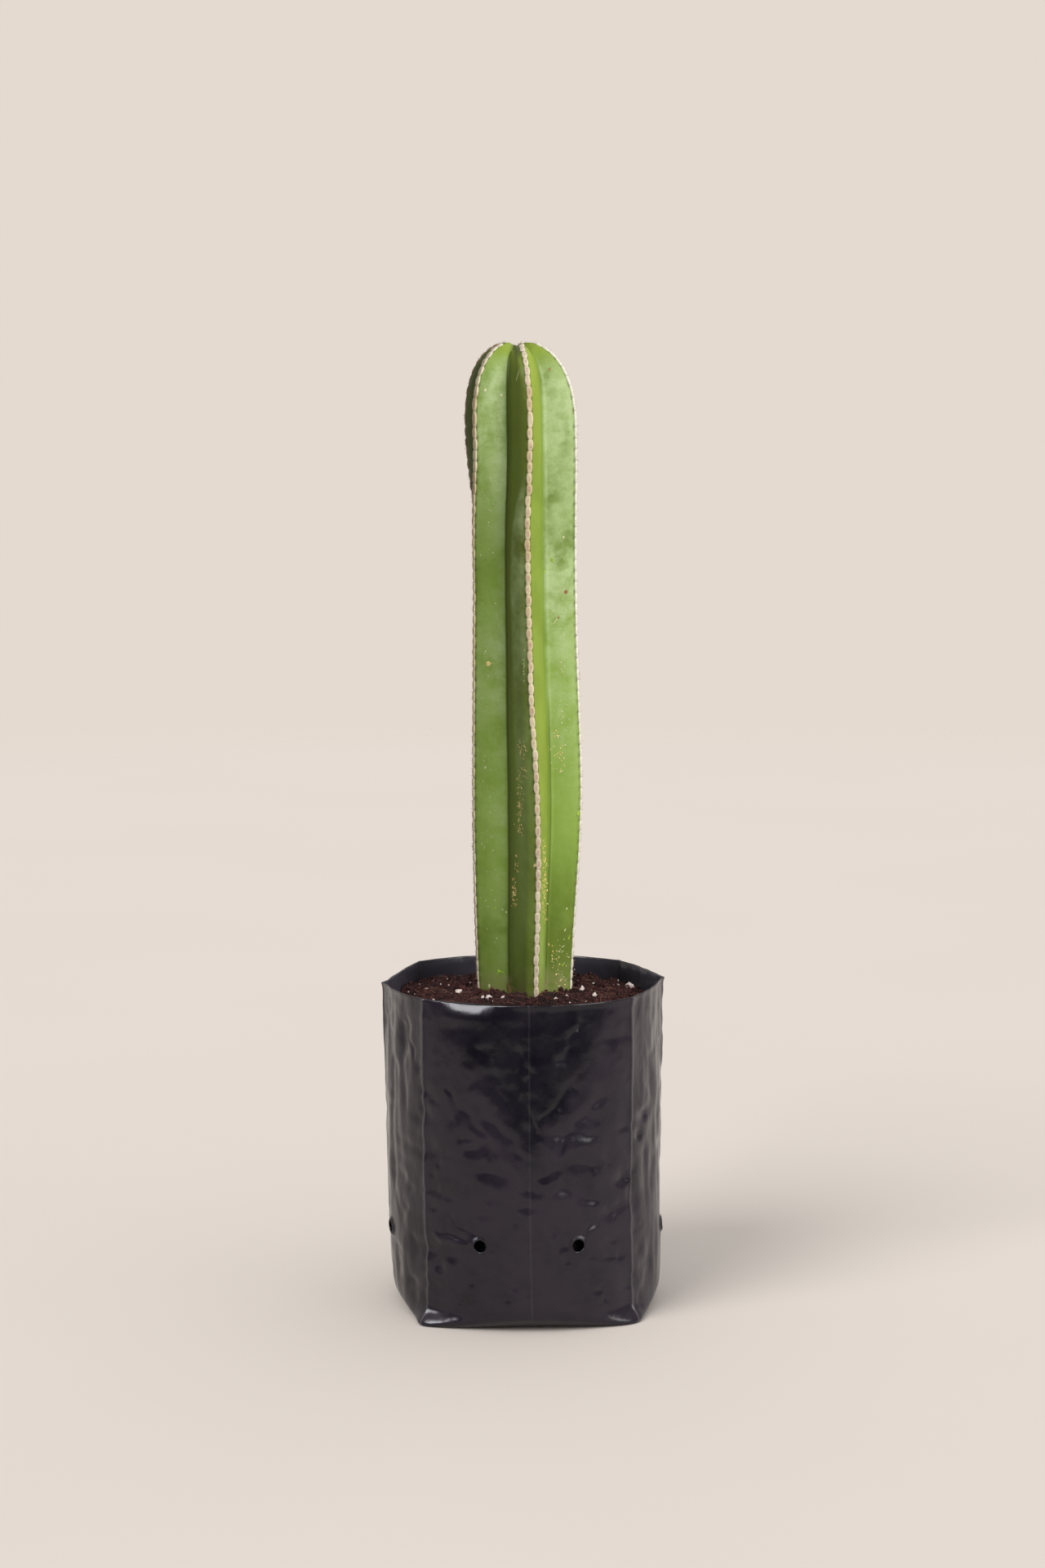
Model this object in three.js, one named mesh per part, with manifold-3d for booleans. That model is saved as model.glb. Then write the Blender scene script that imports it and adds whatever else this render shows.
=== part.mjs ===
// Potted columnar cactus: one six-ribbed stem with a line of felt along every rib edge,
// rooted in a coir and perlite mix that fills a gusseted black film nursery bag.
// Millimetres, +Z up. The origin is the middle of the bag's flat underside, and the bag's
// front panel faces -Y. Directions round the axis are degrees from -Y towards +X.
import * as THREE from 'three';
import { mergeVertices } from 'three/addons/utils/BufferGeometryUtils.js';
import Module from 'manifold-3d';

// Clearances
const TOUCH_GAP = 0.3;
const WALL_GAP = 0.35;

// The bag: a 250 mm wide flat tube with side gussets, sealed across and opened out
const FLAT_WIDTH = 250;
const BAG_GIRTH = 2 * FLAT_WIDTH;
const BAG_HEIGHT = FLAT_WIDTH * 0.75;
const FILM = 1.0;
const ROUND_POWER = 2.05;
const SQUARE_POWER = 6;
const SQUARE_FADE = 2.6;
const FOOT_ROUND = 1.5;
const FOOT_HEIGHT = 4;
const FOOT_TAPER = 2;
const TAPER_FADE = 35;
// Height and sideways lean of the filled bag
const BAG_LEAN = [[0, 2], [20, 1.5], [45, 0.9], [90, 0.2], [BAG_HEIGHT, 0]];
const BAG_LEVELS = [0, 2, 5, 10, 18, 32, 50, 70, 100, 130, 160, 180, BAG_HEIGHT];
const CORNER_RIDGE = 0.8;
const GUSSET_RIDGE = 1.2;
const GUSSET_START = 40;
const PANEL_RIDGE = 0.3;
// Distance the cavity stays in from the outside at the floor's rounded edge
const FLOOR_INSET = 1.5 * FILM;
const DRAIN_DIAMETER = 7;
const DRAIN_SIDES = 16;
const PUNCH_LENGTH = 8;
// Direction and height of each drain hole
const DRAINS = [
  [-160, 50], [-104, 47], [-78, 47], [-21, 50], [20, 50], [85, 45], [108, 47], [160, 50],
];

// Slack places in the film: direction, height, half width in degrees, half height, depth
const DENTS = [
  [-12, 138, 9, 38, 1.6], [14, 142, 8, 36, 1.5], [-30, 52, 12, 18, 1.2], [32, 60, 12, 20, 1.2],
  [-64, 105, 11, 34, 1.3], [66, 98, 11, 36, 1.3], [-112, 120, 14, 30, 1.4], [116, 86, 14, 34, 1.4],
  [-158, 112, 12, 36, 1.5], [157, 130, 12, 34, 1.5], [176, 60, 14, 24, 1.2], [-2, 40, 12, 16, 1.0],
];

// The soil: a mound that is highest at the stem
const SOIL_CROWN = 182.5;
const SOIL_FALL = 6;
const MOUND_INNER = 30;
const MOUND_OUTER = 76;
const SOIL_TILT = -0.01;
const SOIL_RINGS = [1, 0.89, 0.78, 0.67, 0.56, 0.45, 0.3, 0.15];
const SINK = { x: -64, y: 14, radius: 13, depth: 5 };
// Waves that make the lumps: height, wavelength, direction in degrees, phase in degrees
const LUMPS = [[0.9, 27, 20, 40], [0.8, 21, 95, 160], [0.7, 17, 150, 300], [0.5, 13, 60, 80]];

// The stem. Heights are along the rib edges: upright to the shoulder, then round the dome.
const SHOULDER = 505;
const DOME_PATH = 66;
const DOME_RISE = 48;
const DOME_RADIUS = 33;
const DOME_POWER = 2.35;
const DIMPLE_DEPTH = 1.8;
const DIMPLE_RADIUS = 4;
const FOOT_END = 125;
// Height and distance from the stem's axis to the outside of the felt
const STEM_RADIUS = [
  [FOOT_END, 12], [129, 20], [136, 24.5], [150, 26.5], [182, 27.8], [211, 29.1], [268, 31.6],
  [306, 32.1], [376, 30.7], [422, 30.1], [446, 30.7], [488, 32.7], [SHOULDER, DOME_RADIUS],
];
// Height and sideways place of the stem's axis
const STEM_LEAN = [
  [150, 0.5], [211, 0.5], [268, 1.6], [306, 1.9], [376, 0.9], [422, 0.5], [446, 0], [488, -1.2],
  [SHOULDER, -1.8], [SHOULDER + DOME_PATH, -3.4],
];
// Direction of each rib at some heights
const RIBS = [
  [[211, 11.1], [268, 10], [306, 7.1], [422, 5.6], [500, 6.6]],
  [[422, 77.6], [500, 71.6]],
  [[422, 127.6]],
  [[422, 179.6], [500, 189.6]],
  [[422, 233.6], [500, 249.6]],
  [[422, 285.6], [500, 305.6]],
];
const LAND_HALF_WIDTH = 1.3;
const VALLEY_RATIO = 0.56;
const VALLEY_FLOOR_RATIO = 0.6;
const VALLEY_POWER = 3;
const VALLEY_DROP = 1.2;
const FACE_BULGE = 1.1;
// Places of a face's points, as shares of the way from the valley to the rib's flat edge
const FACE_SHARES = [0.2, 0.62];
// Nearer the axis than this, on top of the dome, the flat edge and the felt shrink away
const EDGE_FULL_RADIUS = 12;
// Sideways share of the room that a grown stem leaves at a rib's flat edge
const SIDE_ROOM = 0.6;
const STEM_HEIGHTS = [
  FOOT_END, 129, 136, 150, 170, 190, 212, 234, 256, 278, 300, 322, 344, 366, 388, 410, 430, 450,
  469, 488, SHOULDER, 513, 521, 529, 537, 545, 553, 560, 565, 569,
];

// The felt: a chain of areoles that grow into one another
const AREOLE_PITCH = 6.2;
const FELT_START = 176;
const FELT_END = SHOULDER + 61;
const FELT_THICKNESS = 1.1;
const BEAD = { base: 1.55, top: 0.95, drop: 0 };
const NECK = { base: 1.2, top: 0.7, drop: 0.4 };
// The youngest areoles are small and grow to full size at some distance from the axis
const BUD_SIZE = 0.25;
const BUD_REACH = 16;
const FELT_SEED = 7;
const SPINE_LENGTH = 2;
const SPINE_RADIUS = 0.28;
const SPINE_ROOT = 0.6 * FELT_THICKNESS;
const SPINE_SPREAD = 0.75;
const SPINE_FIRST = 188;

// The larger perlite grains on the soil: x, y, diameter
const GRAINS = [
  [63, 22.5, 5.2], [-37.5, -11.5, 4.3], [-34, 9.5, 2.8], [-21, -31, 3.3], [-55.5, 26, 2.6],
  [23.5, -26, 2.8], [17, -32.5, 2.8], [33.5, -6.5, 2.6], [39.5, -24.5, 2.8], [-12.5, -30.5, 2.4],
  [57.5, 38, 2.2], [33, 31, 2.8], [-8, 52, 4], [-31, 48, 3.4],
];
const GRAIN_SEED = 101;
const GRAIN_LEAST = 0.82;
const GRAIN_SPREAD = 0.36;
const GRAIN_FLATNESS = 0.85;
// Height of a grain's middle over the soil, as a share of its diameter
const GRAIN_RISE = 0.08;

const radians = (degrees) => (degrees * Math.PI) / 180;
const heading = (angle) => new THREE.Vector3(Math.sin(radians(angle)), -Math.cos(radians(angle)), 0);
const upward = new THREE.Vector3(0, 0, 1);
const WELD = 1e-4;

function seededRandom(seed) {
  const span = 2 ** 32;
  let state = seed;
  return () => {
    state = (state * 1664525 + 1013904223) % span;
    return state / span;
  };
}

// Smooth value at a place between [place, value] pairs
function through(pairs, place) {
  const last = pairs.length - 1;
  if (place <= pairs[0][0]) return pairs[0][1];
  if (place >= pairs[last][0]) return pairs[last][1];
  let i = 0;
  while (place > pairs[i + 1][0]) i += 1;
  const slope = (a, b) => (pairs[b][1] - pairs[a][1]) / (pairs[b][0] - pairs[a][0]);
  const span = pairs[i + 1][0] - pairs[i][0];
  const slopeIn = i > 0 ? slope(i - 1, i + 1) : 0;
  const slopeOut = i + 1 < last ? slope(i, i + 2) : 0;
  const t = (place - pairs[i][0]) / span;
  const rise = t * t * (3 - 2 * t);
  const bendIn = slopeIn * span * t * (1 - t) * (1 - t);
  const bendOut = slopeOut * span * t * t * (1 - t);
  return pairs[i][1] + (pairs[i + 1][1] - pairs[i][1]) * rise + bendIn - bendOut;
}

// Points and triangles of a closed body through a stack of rings, its ends closed to their middles
function loft(rings) {
  const points = rings.flat();
  const faces = [];
  const sides = rings[0].length;
  const middle = (ring) => {
    const sum = ring.reduce((total, point) => total.add(point), new THREE.Vector3());
    return sum.divideScalar(ring.length);
  };
  const firstMiddle = points.push(middle(rings[0])) - 1;
  const lastMiddle = points.push(middle(rings[rings.length - 1])) - 1;
  const lastRing = (rings.length - 1) * sides;
  for (let i = 0; i < sides; i += 1) {
    const j = (i + 1) % sides;
    for (let k = 0; k < lastRing; k += sides) {
      faces.push([k + i, k + j, k + sides + j], [k + i, k + sides + j, k + sides + i]);
    }
    faces.push([firstMiddle, j, i], [lastMiddle, lastRing + i, lastRing + j]);
  }
  return { points, faces };
}

const wasm = await Module();
wasm.setup();

function solidFromFaces({ points, faces }) {
  const vertProperties = new Float32Array(points.flatMap((point) => point.toArray()));
  const triVerts = new Uint32Array(faces.flat());
  return new wasm.Manifold(new wasm.Mesh({ numProp: 3, vertProperties, triVerts }));
}

function solidFromGeometry(geometry) {
  const bare = geometry.clone();
  bare.deleteAttribute('normal');
  bare.deleteAttribute('uv');
  const merged = mergeVertices(bare, WELD);
  const vertProperties = new Float32Array(merged.attributes.position.array);
  const triVerts = new Uint32Array(merged.index.array);
  return new wasm.Manifold(new wasm.Mesh({ numProp: 3, vertProperties, triVerts }));
}

function geometryFromSolid(solid) {
  const mesh = solid.getMesh();
  const geometry = new THREE.BufferGeometry();
  geometry.setAttribute('position', new THREE.BufferAttribute(mesh.vertProperties, 3));
  geometry.setIndex(new THREE.BufferAttribute(mesh.triVerts, 1));
  geometry.computeVertexNormals();
  return geometry;
}

// The bag's section is a rounded square at the foot and nearly a circle above, with one girth
function bagHalfWidth(power) {
  let girth = 0;
  let before = null;
  for (let angle = 0; angle <= 360; angle += 1) {
    const point = heading(angle).multiplyScalar(squareRound(angle, power));
    if (before) girth += point.distanceTo(before);
    before = point;
  }
  return BAG_GIRTH / girth;
}

function squareRound(angle, power) {
  const across = Math.abs(Math.sin(radians(angle)));
  const along = Math.abs(Math.cos(radians(angle)));
  return (across ** power + along ** power) ** (-1 / power);
}

const angleBetween = (a, b) => Math.abs(((a - b + 540) % 360) - 180);

// Standing folds: the four corners of the base, the two side gussets and the two panel middles
function foldRidge(angle, z) {
  if (angle % 90 !== 0) return angle % 45 === 0 ? CORNER_RIDGE : 0;
  if (angle % 180 === 0) return PANEL_RIDGE;
  return GUSSET_RIDGE * THREE.MathUtils.smoothstep(z, GUSSET_START, BAG_HEIGHT);
}

function dentDepth(angle, z) {
  let depth = 0;
  for (const [direction, height, spread, tall, deep] of DENTS) {
    const aside = angleBetween(angle, direction) / spread;
    const above = (z - height) / tall;
    depth += deep * Math.exp(-aside * aside - above * above);
  }
  return depth;
}

// A fold, a close pair of points beside it and two points on the film between two folds
const FOLD_OFFSETS = [0, 2.5, 15, 30, 42.5];
const BAG_ANGLES = [];
for (let fold = 0; fold < 360; fold += 45) {
  for (const offset of FOLD_OFFSETS) BAG_ANGLES.push(fold + offset);
}

// A ring of points on the bag's outside, moved inwards by the inset
function bagRing(z, inset) {
  const power = ROUND_POWER + SQUARE_POWER * Math.exp(-z / SQUARE_FADE);
  const halfWidth = bagHalfWidth(power);
  const under = Math.max(0, 1 - z / FOOT_HEIGHT);
  const rounding = FOOT_ROUND * (1 - Math.sqrt(1 - under * under));
  const footInset = rounding + FOOT_TAPER * Math.exp(-z / TAPER_FADE);
  const lean = through(BAG_LEAN, z);
  return BAG_ANGLES.map((angle) => {
    const radius = halfWidth * squareRound(angle, power) - footInset - inset
      + foldRidge(angle, z) - dentDepth(angle, z);
    const point = heading(angle).multiplyScalar(radius);
    return point.set(point.x + lean, point.y, z);
  });
}

function growBag() {
  const punchAxis = new THREE.Vector3(0, 1, 0);
  const outside = BAG_LEVELS.map((z) => bagRing(z, 0));
  const floor = bagRing(FILM, FLOOR_INSET);
  const inside = BAG_LEVELS.slice(1).map((z) => bagRing(z, FILM));
  const aboveRim = inside[inside.length - 1].map((point) => point.clone().setZ(BAG_HEIGHT + FILM));
  const cavity = solidFromFaces(loft([floor, ...inside, aboveRim]));
  let bag = solidFromFaces(loft(outside)).subtract(cavity);
  const drainRadius = DRAIN_DIAMETER / 2;
  for (const [angle, height] of DRAINS) {
    const punch = new THREE.CylinderGeometry(drainRadius, drainRadius, PUNCH_LENGTH, DRAIN_SIDES);
    const turn = new THREE.Quaternion().setFromUnitVectors(punchAxis, heading(angle));
    const place = heading(angle).multiplyScalar(BAG_GIRTH / (2 * Math.PI));
    punch.applyQuaternion(turn).translate(place.x + through(BAG_LEAN, height), place.y, height);
    bag = bag.subtract(solidFromGeometry(punch));
  }
  return bag;
}

// Place on a rib edge's profile: distance from the axis, height, and the outward direction
function edgeProfile(path) {
  if (path <= SHOULDER) return { radius: through(STEM_RADIUS, path), z: path };
  const turn = (Math.min(1, (path - SHOULDER) / DOME_PATH) * Math.PI) / 2;
  const radius = DOME_RADIUS * Math.max(0, Math.cos(turn)) ** (2 / DOME_POWER);
  const dimple = DIMPLE_DEPTH * Math.exp(-((radius / DIMPLE_RADIUS) ** 2));
  const z = SHOULDER + DOME_RISE * Math.sin(turn) ** (2 / DOME_POWER) - dimple;
  return { radius, z };
}

// The valley between two ribs, under the same point of the path
function valleyProfile(path, ratio) {
  if (path <= SHOULDER) return { radius: ratio * through(STEM_RADIUS, path), z: path };
  const turn = (Math.min(1, (path - SHOULDER) / DOME_PATH) * Math.PI) / 2;
  const radius = ratio * DOME_RADIUS * Math.max(0, Math.cos(turn)) ** (2 / VALLEY_POWER);
  const rise = DOME_RISE - DIMPLE_DEPTH - VALLEY_DROP;
  return { radius, z: SHOULDER + rise * Math.sin(turn) ** (2 / VALLEY_POWER) };
}

const leanAt = (path) => new THREE.Vector3(through(STEM_LEAN, path), 0, 0);

// A point on a rib edge with its outward and sideways directions
function edgeFrame(rib, path) {
  const step = 0.5;
  const here = edgeProfile(path);
  const below = edgeProfile(path - step);
  const above = edgeProfile(Math.min(path + step, SHOULDER + DOME_PATH));
  const out = heading(through(RIBS[rib], path));
  const side = new THREE.Vector3().crossVectors(upward, out);
  const rise = above.z - below.z;
  const inward = below.radius - above.radius;
  const normal = out.clone().multiplyScalar(rise).addScaledVector(upward, inward).normalize();
  const point = out.clone().multiplyScalar(here.radius).setZ(here.z).add(leanAt(path));
  return { point, normal, side, radius: here.radius };
}

// Eight points for each rib: valley floor, flank, face, the flat edge's three, face and flank
function stemRing(path, grow, edgeGrow) {
  const ring = [];
  const edgeDrop = FELT_THICKNESS + TOUCH_GAP;
  for (let rib = 0; rib < RIBS.length; rib += 1) {
    const angle = through(RIBS[rib], path);
    const before = through(RIBS[(rib + RIBS.length - 1) % RIBS.length], path) - (rib === 0 ? 360 : 0);
    const after = through(RIBS[(rib + 1) % RIBS.length], path) + (rib === RIBS.length - 1 ? 360 : 0);
    const edge = edgeFrame(rib, path);
    const taper = Math.min(1, edge.radius / EDGE_FULL_RADIUS);
    const landWidth = LAND_HALF_WIDTH * taper + SIDE_ROOM * edgeGrow;
    const land = edge.point.clone().addScaledVector(edge.normal, edgeGrow - edgeDrop * taper);
    const valley = valleyProfile(path, VALLEY_RATIO);
    const floor = valleyProfile(path, VALLEY_FLOOR_RATIO);
    const atValley = (side, profile) => heading((angle + side) / 2)
      .multiplyScalar(profile.radius + grow).setZ(profile.z).add(leanAt(path));
    const face = (side, sideSign, share) => {
      const from = atValley(side, valley);
      const to = land.clone().addScaledVector(edge.side, sideSign * landWidth);
      const along = to.clone().sub(from);
      const outward = new THREE.Vector3().crossVectors(along, upward).multiplyScalar(-sideSign);
      if (outward.lengthSq() > 0) outward.normalize();
      const bulge = FACE_BULGE * taper * Math.sin(Math.PI * share) + grow;
      return from.addScaledVector(along, share).addScaledVector(outward, bulge);
    };
    const [low, high] = FACE_SHARES;
    ring.push(atValley(before, floor), face(before, -1, low), face(before, -1, high));
    for (const sign of [-1, 0, 1]) ring.push(land.clone().addScaledVector(edge.side, sign * landWidth));
    ring.push(face(after, 1, high), face(after, 1, low));
  }
  return ring;
}

function stemSolid(grow, edgeGrow) {
  const rings = STEM_HEIGHTS.map((path) => stemRing(path, grow, edgeGrow));
  if (grow > 0) rings.unshift(rings[0].map((point) => point.clone().setZ(point.z - grow)));
  return solidFromFaces(loft(rings));
}

// One strip of felt, two rings for each areole, with short spines that stand out of it
function feltStrip(rib) {
  const random = seededRandom(FELT_SEED + rib);
  const rings = [];
  const spines = [];
  const count = Math.floor((FELT_END - FELT_START) / (AREOLE_PITCH / 2));
  for (let i = 0; i <= count; i += 1) {
    const path = FELT_START + (i * AREOLE_PITCH) / 2;
    const shape = i % 2 === 0 ? NECK : BEAD;
    const { point, normal, side, radius } = edgeFrame(rib, path);
    const size = Math.min(1, BUD_SIZE + radius / BUD_REACH);
    const place = (across, depth) => point.clone().addScaledVector(side, across * size)
      .addScaledVector(normal, -depth);
    const base = FELT_THICKNESS * size;
    const top = shape.drop * size;
    rings.push([place(shape.base, base), place(-shape.base, base), place(-shape.top, top),
      place(shape.top, top)]);
    const turn = random() - 0.5;
    const sign = random() < 0.5 ? -1 : 1;
    if (i % 4 === 1 && path > SPINE_FIRST) spines.push(spine({ point, normal, side }, sign, turn));
  }
  return wasm.Manifold.union([solidFromFaces(loft(rings)), ...spines]);
}

function spine({ point, normal, side }, sign, turn) {
  const root = point.clone().addScaledVector(normal, -SPINE_ROOT);
  const along = new THREE.Vector3().crossVectors(normal, side);
  const direction = normal.clone().addScaledVector(side, SPINE_SPREAD * sign);
  direction.addScaledVector(along, turn).normalize();
  const across = new THREE.Vector3().crossVectors(direction, side).normalize();
  const other = new THREE.Vector3().crossVectors(direction, across);
  const corners = [0, 120, 240].map((angle) => root.clone()
    .addScaledVector(across, SPINE_RADIUS * Math.cos(radians(angle)))
    .addScaledVector(other, SPINE_RADIUS * Math.sin(radians(angle))));
  const tip = root.clone().addScaledVector(direction, SPINE_LENGTH + SPINE_ROOT);
  const faces = [[0, 2, 1], [0, 1, 3], [1, 2, 3], [2, 0, 3]];
  return solidFromFaces({ points: [...corners, tip], faces });
}

function soilHeight(x, y) {
  const away = Math.hypot(x, y);
  let height = SOIL_CROWN + SOIL_TILT * x;
  height -= SOIL_FALL * THREE.MathUtils.smoothstep(away, MOUND_INNER, MOUND_OUTER);
  height -= SINK.depth * Math.exp(-((x - SINK.x) ** 2 + (y - SINK.y) ** 2) / SINK.radius ** 2);
  for (const [tall, wavelength, direction, phase] of LUMPS) {
    const along = x * Math.cos(radians(direction)) + y * Math.sin(radians(direction));
    height += tall * Math.sin((2 * Math.PI * along) / wavelength + radians(phase));
  }
  return height;
}

function soilSolid() {
  const inset = FILM + WALL_GAP;
  const rings = [bagRing(FILM + TOUCH_GAP, FLOOR_INSET + WALL_GAP)];
  for (const z of BAG_LEVELS.slice(1, -2)) rings.push(bagRing(z, inset));
  const rim = bagRing(SOIL_CROWN - SOIL_FALL, inset);
  for (const share of SOIL_RINGS) {
    rings.push(rim.map((point) => {
      const x = point.x * share;
      const y = point.y * share;
      return new THREE.Vector3(x, y, soilHeight(x, y));
    }));
  }
  const hole = stemSolid(WALL_GAP, FELT_THICKNESS + 2 * TOUCH_GAP);
  let soil = solidFromFaces(loft(rings)).subtract(hole);
  GRAINS.forEach((grain, index) => {
    soil = soil.subtract(grainSolid(grain, index, TOUCH_GAP));
  });
  return soil;
}

// A grain is an uneven lump, half sunk in the soil
function grainSolid([x, y, diameter], index, grow) {
  const random = seededRandom(GRAIN_SEED + index);
  const lump = new THREE.IcosahedronGeometry(1, 0);
  lump.deleteAttribute('normal');
  lump.deleteAttribute('uv');
  const merged = mergeVertices(lump, WELD);
  const position = merged.attributes.position;
  for (let i = 0; i < position.count; i += 1) {
    const radius = (diameter / 2) * (GRAIN_LEAST + GRAIN_SPREAD * random()) + grow;
    const point = new THREE.Vector3().fromBufferAttribute(position, i).multiplyScalar(radius);
    position.setXYZ(i, point.x, point.y, point.z * GRAIN_FLATNESS);
  }
  merged.rotateZ(random() * Math.PI);
  merged.translate(x, y, soilHeight(x, y) + GRAIN_RISE * diameter);
  return solidFromGeometry(merged);
}

const finish = (color, roughness) => new THREE.MeshStandardMaterial({ color, roughness, metalness: 0 });
const FINISHES = {
  film: finish(0x232126, 0.35),
  soil: finish(0x45292a, 0.95),
  skin: finish(0x7f9c4c, 0.55),
  felt: finish(0xd2c1a2, 0.95),
  perlite: finish(0xf0eae6, 0.9),
};

const pottedCactus = new THREE.Group();

function addPiece(name, solid, material) {
  const mesh = new THREE.Mesh(geometryFromSolid(solid), material);
  mesh.name = name;
  pottedCactus.add(mesh);
}

addPiece('grow_bag', growBag(), FINISHES.film);
addPiece('potting_soil', soilSolid(), FINISHES.soil);
addPiece('cactus_stem', stemSolid(0, 0), FINISHES.skin);
for (let rib = 0; rib < RIBS.length; rib += 1) {
  addPiece(`areole_felt_${rib + 1}`, feltStrip(rib), FINISHES.felt);
}
GRAINS.forEach((grain, index) => {
  const number = String(index + 1).padStart(2, '0');
  addPiece(`perlite_grain_${number}`, grainSolid(grain, index, 0), FINISHES.perlite);
});

export default pottedCactus;
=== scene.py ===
# %% [markdown]
# # A potted fence-post cactus
# The object is one tall, six-ribbed cactus in a black film nursery bag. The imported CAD
# model comes first, because everything below is fitted to its true sizes.

# %% Load the frame
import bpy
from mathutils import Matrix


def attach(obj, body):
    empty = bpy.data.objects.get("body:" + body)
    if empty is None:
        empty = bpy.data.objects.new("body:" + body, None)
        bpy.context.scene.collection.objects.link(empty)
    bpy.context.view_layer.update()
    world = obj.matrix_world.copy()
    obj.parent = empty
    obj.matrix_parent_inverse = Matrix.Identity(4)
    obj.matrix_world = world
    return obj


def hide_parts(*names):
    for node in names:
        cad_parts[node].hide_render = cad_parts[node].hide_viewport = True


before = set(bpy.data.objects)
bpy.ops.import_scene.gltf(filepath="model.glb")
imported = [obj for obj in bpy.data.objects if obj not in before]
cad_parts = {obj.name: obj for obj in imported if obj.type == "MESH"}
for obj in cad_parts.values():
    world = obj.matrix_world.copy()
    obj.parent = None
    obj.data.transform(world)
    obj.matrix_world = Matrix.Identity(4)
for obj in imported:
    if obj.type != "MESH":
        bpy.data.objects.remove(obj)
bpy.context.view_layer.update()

# %% [markdown]
# Shapes are worked out in millimetres, as the CAD was, and each finished piece is scaled to
# metres once. Angles are degrees from the bag's front panel (-Y) towards +X, so 90 is the
# right side and 180 is the back.

# %% Shared maths
import math
import random
from functools import lru_cache

import bmesh
import bpy
from mathutils import Euler, Matrix, Vector, noise
from mathutils.bvhtree import BVHTree

MM = 0.001
UP = Vector((0.0, 0.0, 1.0))
MERGE_DISTANCE = 0.0005


def smoothstep(value, low, high):
    share = min(1.0, max(0.0, (value - low) / (high - low)))
    return share * share * (3 - 2 * share)


def bell(distance, reach):
    return math.exp(-((distance / reach) ** 2))


def wander(x, y, z):
    """Smooth chance between -1 and 1."""
    return noise.noise(Vector((x, y, z)))


def heading(angle):
    turn = math.radians(angle)
    return Vector((math.sin(turn), -math.cos(turn), 0.0))


def angle_of(point):
    return math.degrees(math.atan2(point.x, -point.y))


def turn_between(angle, other):
    return (angle - other + 540) % 360 - 180


def through(pairs, place):
    """A smooth value at a place between (place, value) pairs."""
    last = len(pairs) - 1
    if place <= pairs[0][0]:
        return pairs[0][1]
    if place >= pairs[last][0]:
        return pairs[last][1]
    i = 0
    while place > pairs[i + 1][0]:
        i += 1

    def slope(a, b):
        return (pairs[b][1] - pairs[a][1]) / (pairs[b][0] - pairs[a][0])

    span = pairs[i + 1][0] - pairs[i][0]
    slope_in = slope(i - 1, i + 1) if i > 0 else 0
    slope_out = slope(i, i + 2) if i + 1 < last else 0
    t = (place - pairs[i][0]) / span
    rise = t * t * (3 - 2 * t)
    bend = slope_in * span * t * (1 - t) ** 2 - slope_out * span * t * t * (1 - t)
    return pairs[i][1] + (pairs[i + 1][1] - pairs[i][1]) * rise + bend


def spaced(start, end, count):
    return [start + (end - start) * i / count for i in range(count)]


# %% [markdown]
# The camera stands where the photographer stood, fitted to the bag's rim and foot. It comes
# early because small marks are placed by looking through it: a ray through a pixel of the
# photograph shows where that mark lies on the object.

# %% Camera
PHOTO_WIDTH, PHOTO_HEIGHT = 1280, 1920
SENSOR = 36.0
LENS = 75.43
CAMERA_PLACE = Vector((-78.5, -1861.35, 549.5))
CAMERA_PITCH = 82.41
CAMERA_YAW = -2.4
FOCAL_PIXELS = LENS / SENSOR * PHOTO_HEIGHT


def add_object(name, data):
    made = bpy.data.objects.new(name, data)
    bpy.context.scene.collection.objects.link(made)
    return made


camera_data = bpy.data.cameras.new("photo_camera")
camera_data.sensor_width = SENSOR
camera_data.lens = LENS
camera = add_object("photo_camera", camera_data)
camera.location = CAMERA_PLACE * MM
camera.rotation_euler = Euler((math.radians(CAMERA_PITCH), 0, math.radians(CAMERA_YAW)))
bpy.context.scene.camera = camera


# %% A ray through a pixel of the photograph
def surface_of(thing):
    corners = [v.co / MM for v in thing.data.vertices]
    return BVHTree.FromPolygons(corners, [p.vertices[:] for p in thing.data.polygons])


def seen_at(surface, x, y):
    """The point in millimetres, and its normal, that the photograph shows at a pixel."""
    pixel = Vector((x - PHOTO_WIDTH / 2, PHOTO_HEIGHT / 2 - y, -FOCAL_PIXELS))
    ray = camera.rotation_euler.to_matrix() @ pixel
    return surface.ray_cast(CAMERA_PLACE, ray.normalized())[:2]


bag_surface = surface_of(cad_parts["grow_bag"])
soil_surface = surface_of(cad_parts["potting_soil"])
stem_surface = surface_of(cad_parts["cactus_stem"])
print("drain hole on the left is near", seen_at(bag_surface, 575, 1525)[0])

# %% [markdown]
# Every new piece is finished in the same way: scaled to metres, given its finish, then told
# which body it rides on and which CAD nodes it stands for.


# %% Finish a piece
def as_mesh(name, bm):
    mesh = bpy.data.meshes.new(name)
    bm.to_mesh(mesh)
    bm.free()
    return mesh


def finish_piece(name, bm, material, nodes=(), smooth=True):
    bmesh.ops.transform(bm, matrix=Matrix.Scale(MM, 4), verts=bm.verts)
    mesh = as_mesh(name, bm)
    for polygon in mesh.polygons:
        polygon.use_smooth = smooth
    mesh.materials.append(material)
    piece = add_object(name, mesh)
    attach(piece, "root")
    if nodes:
        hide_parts(*nodes)
    print(name, len(mesh.polygons), "faces")
    return piece


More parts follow.
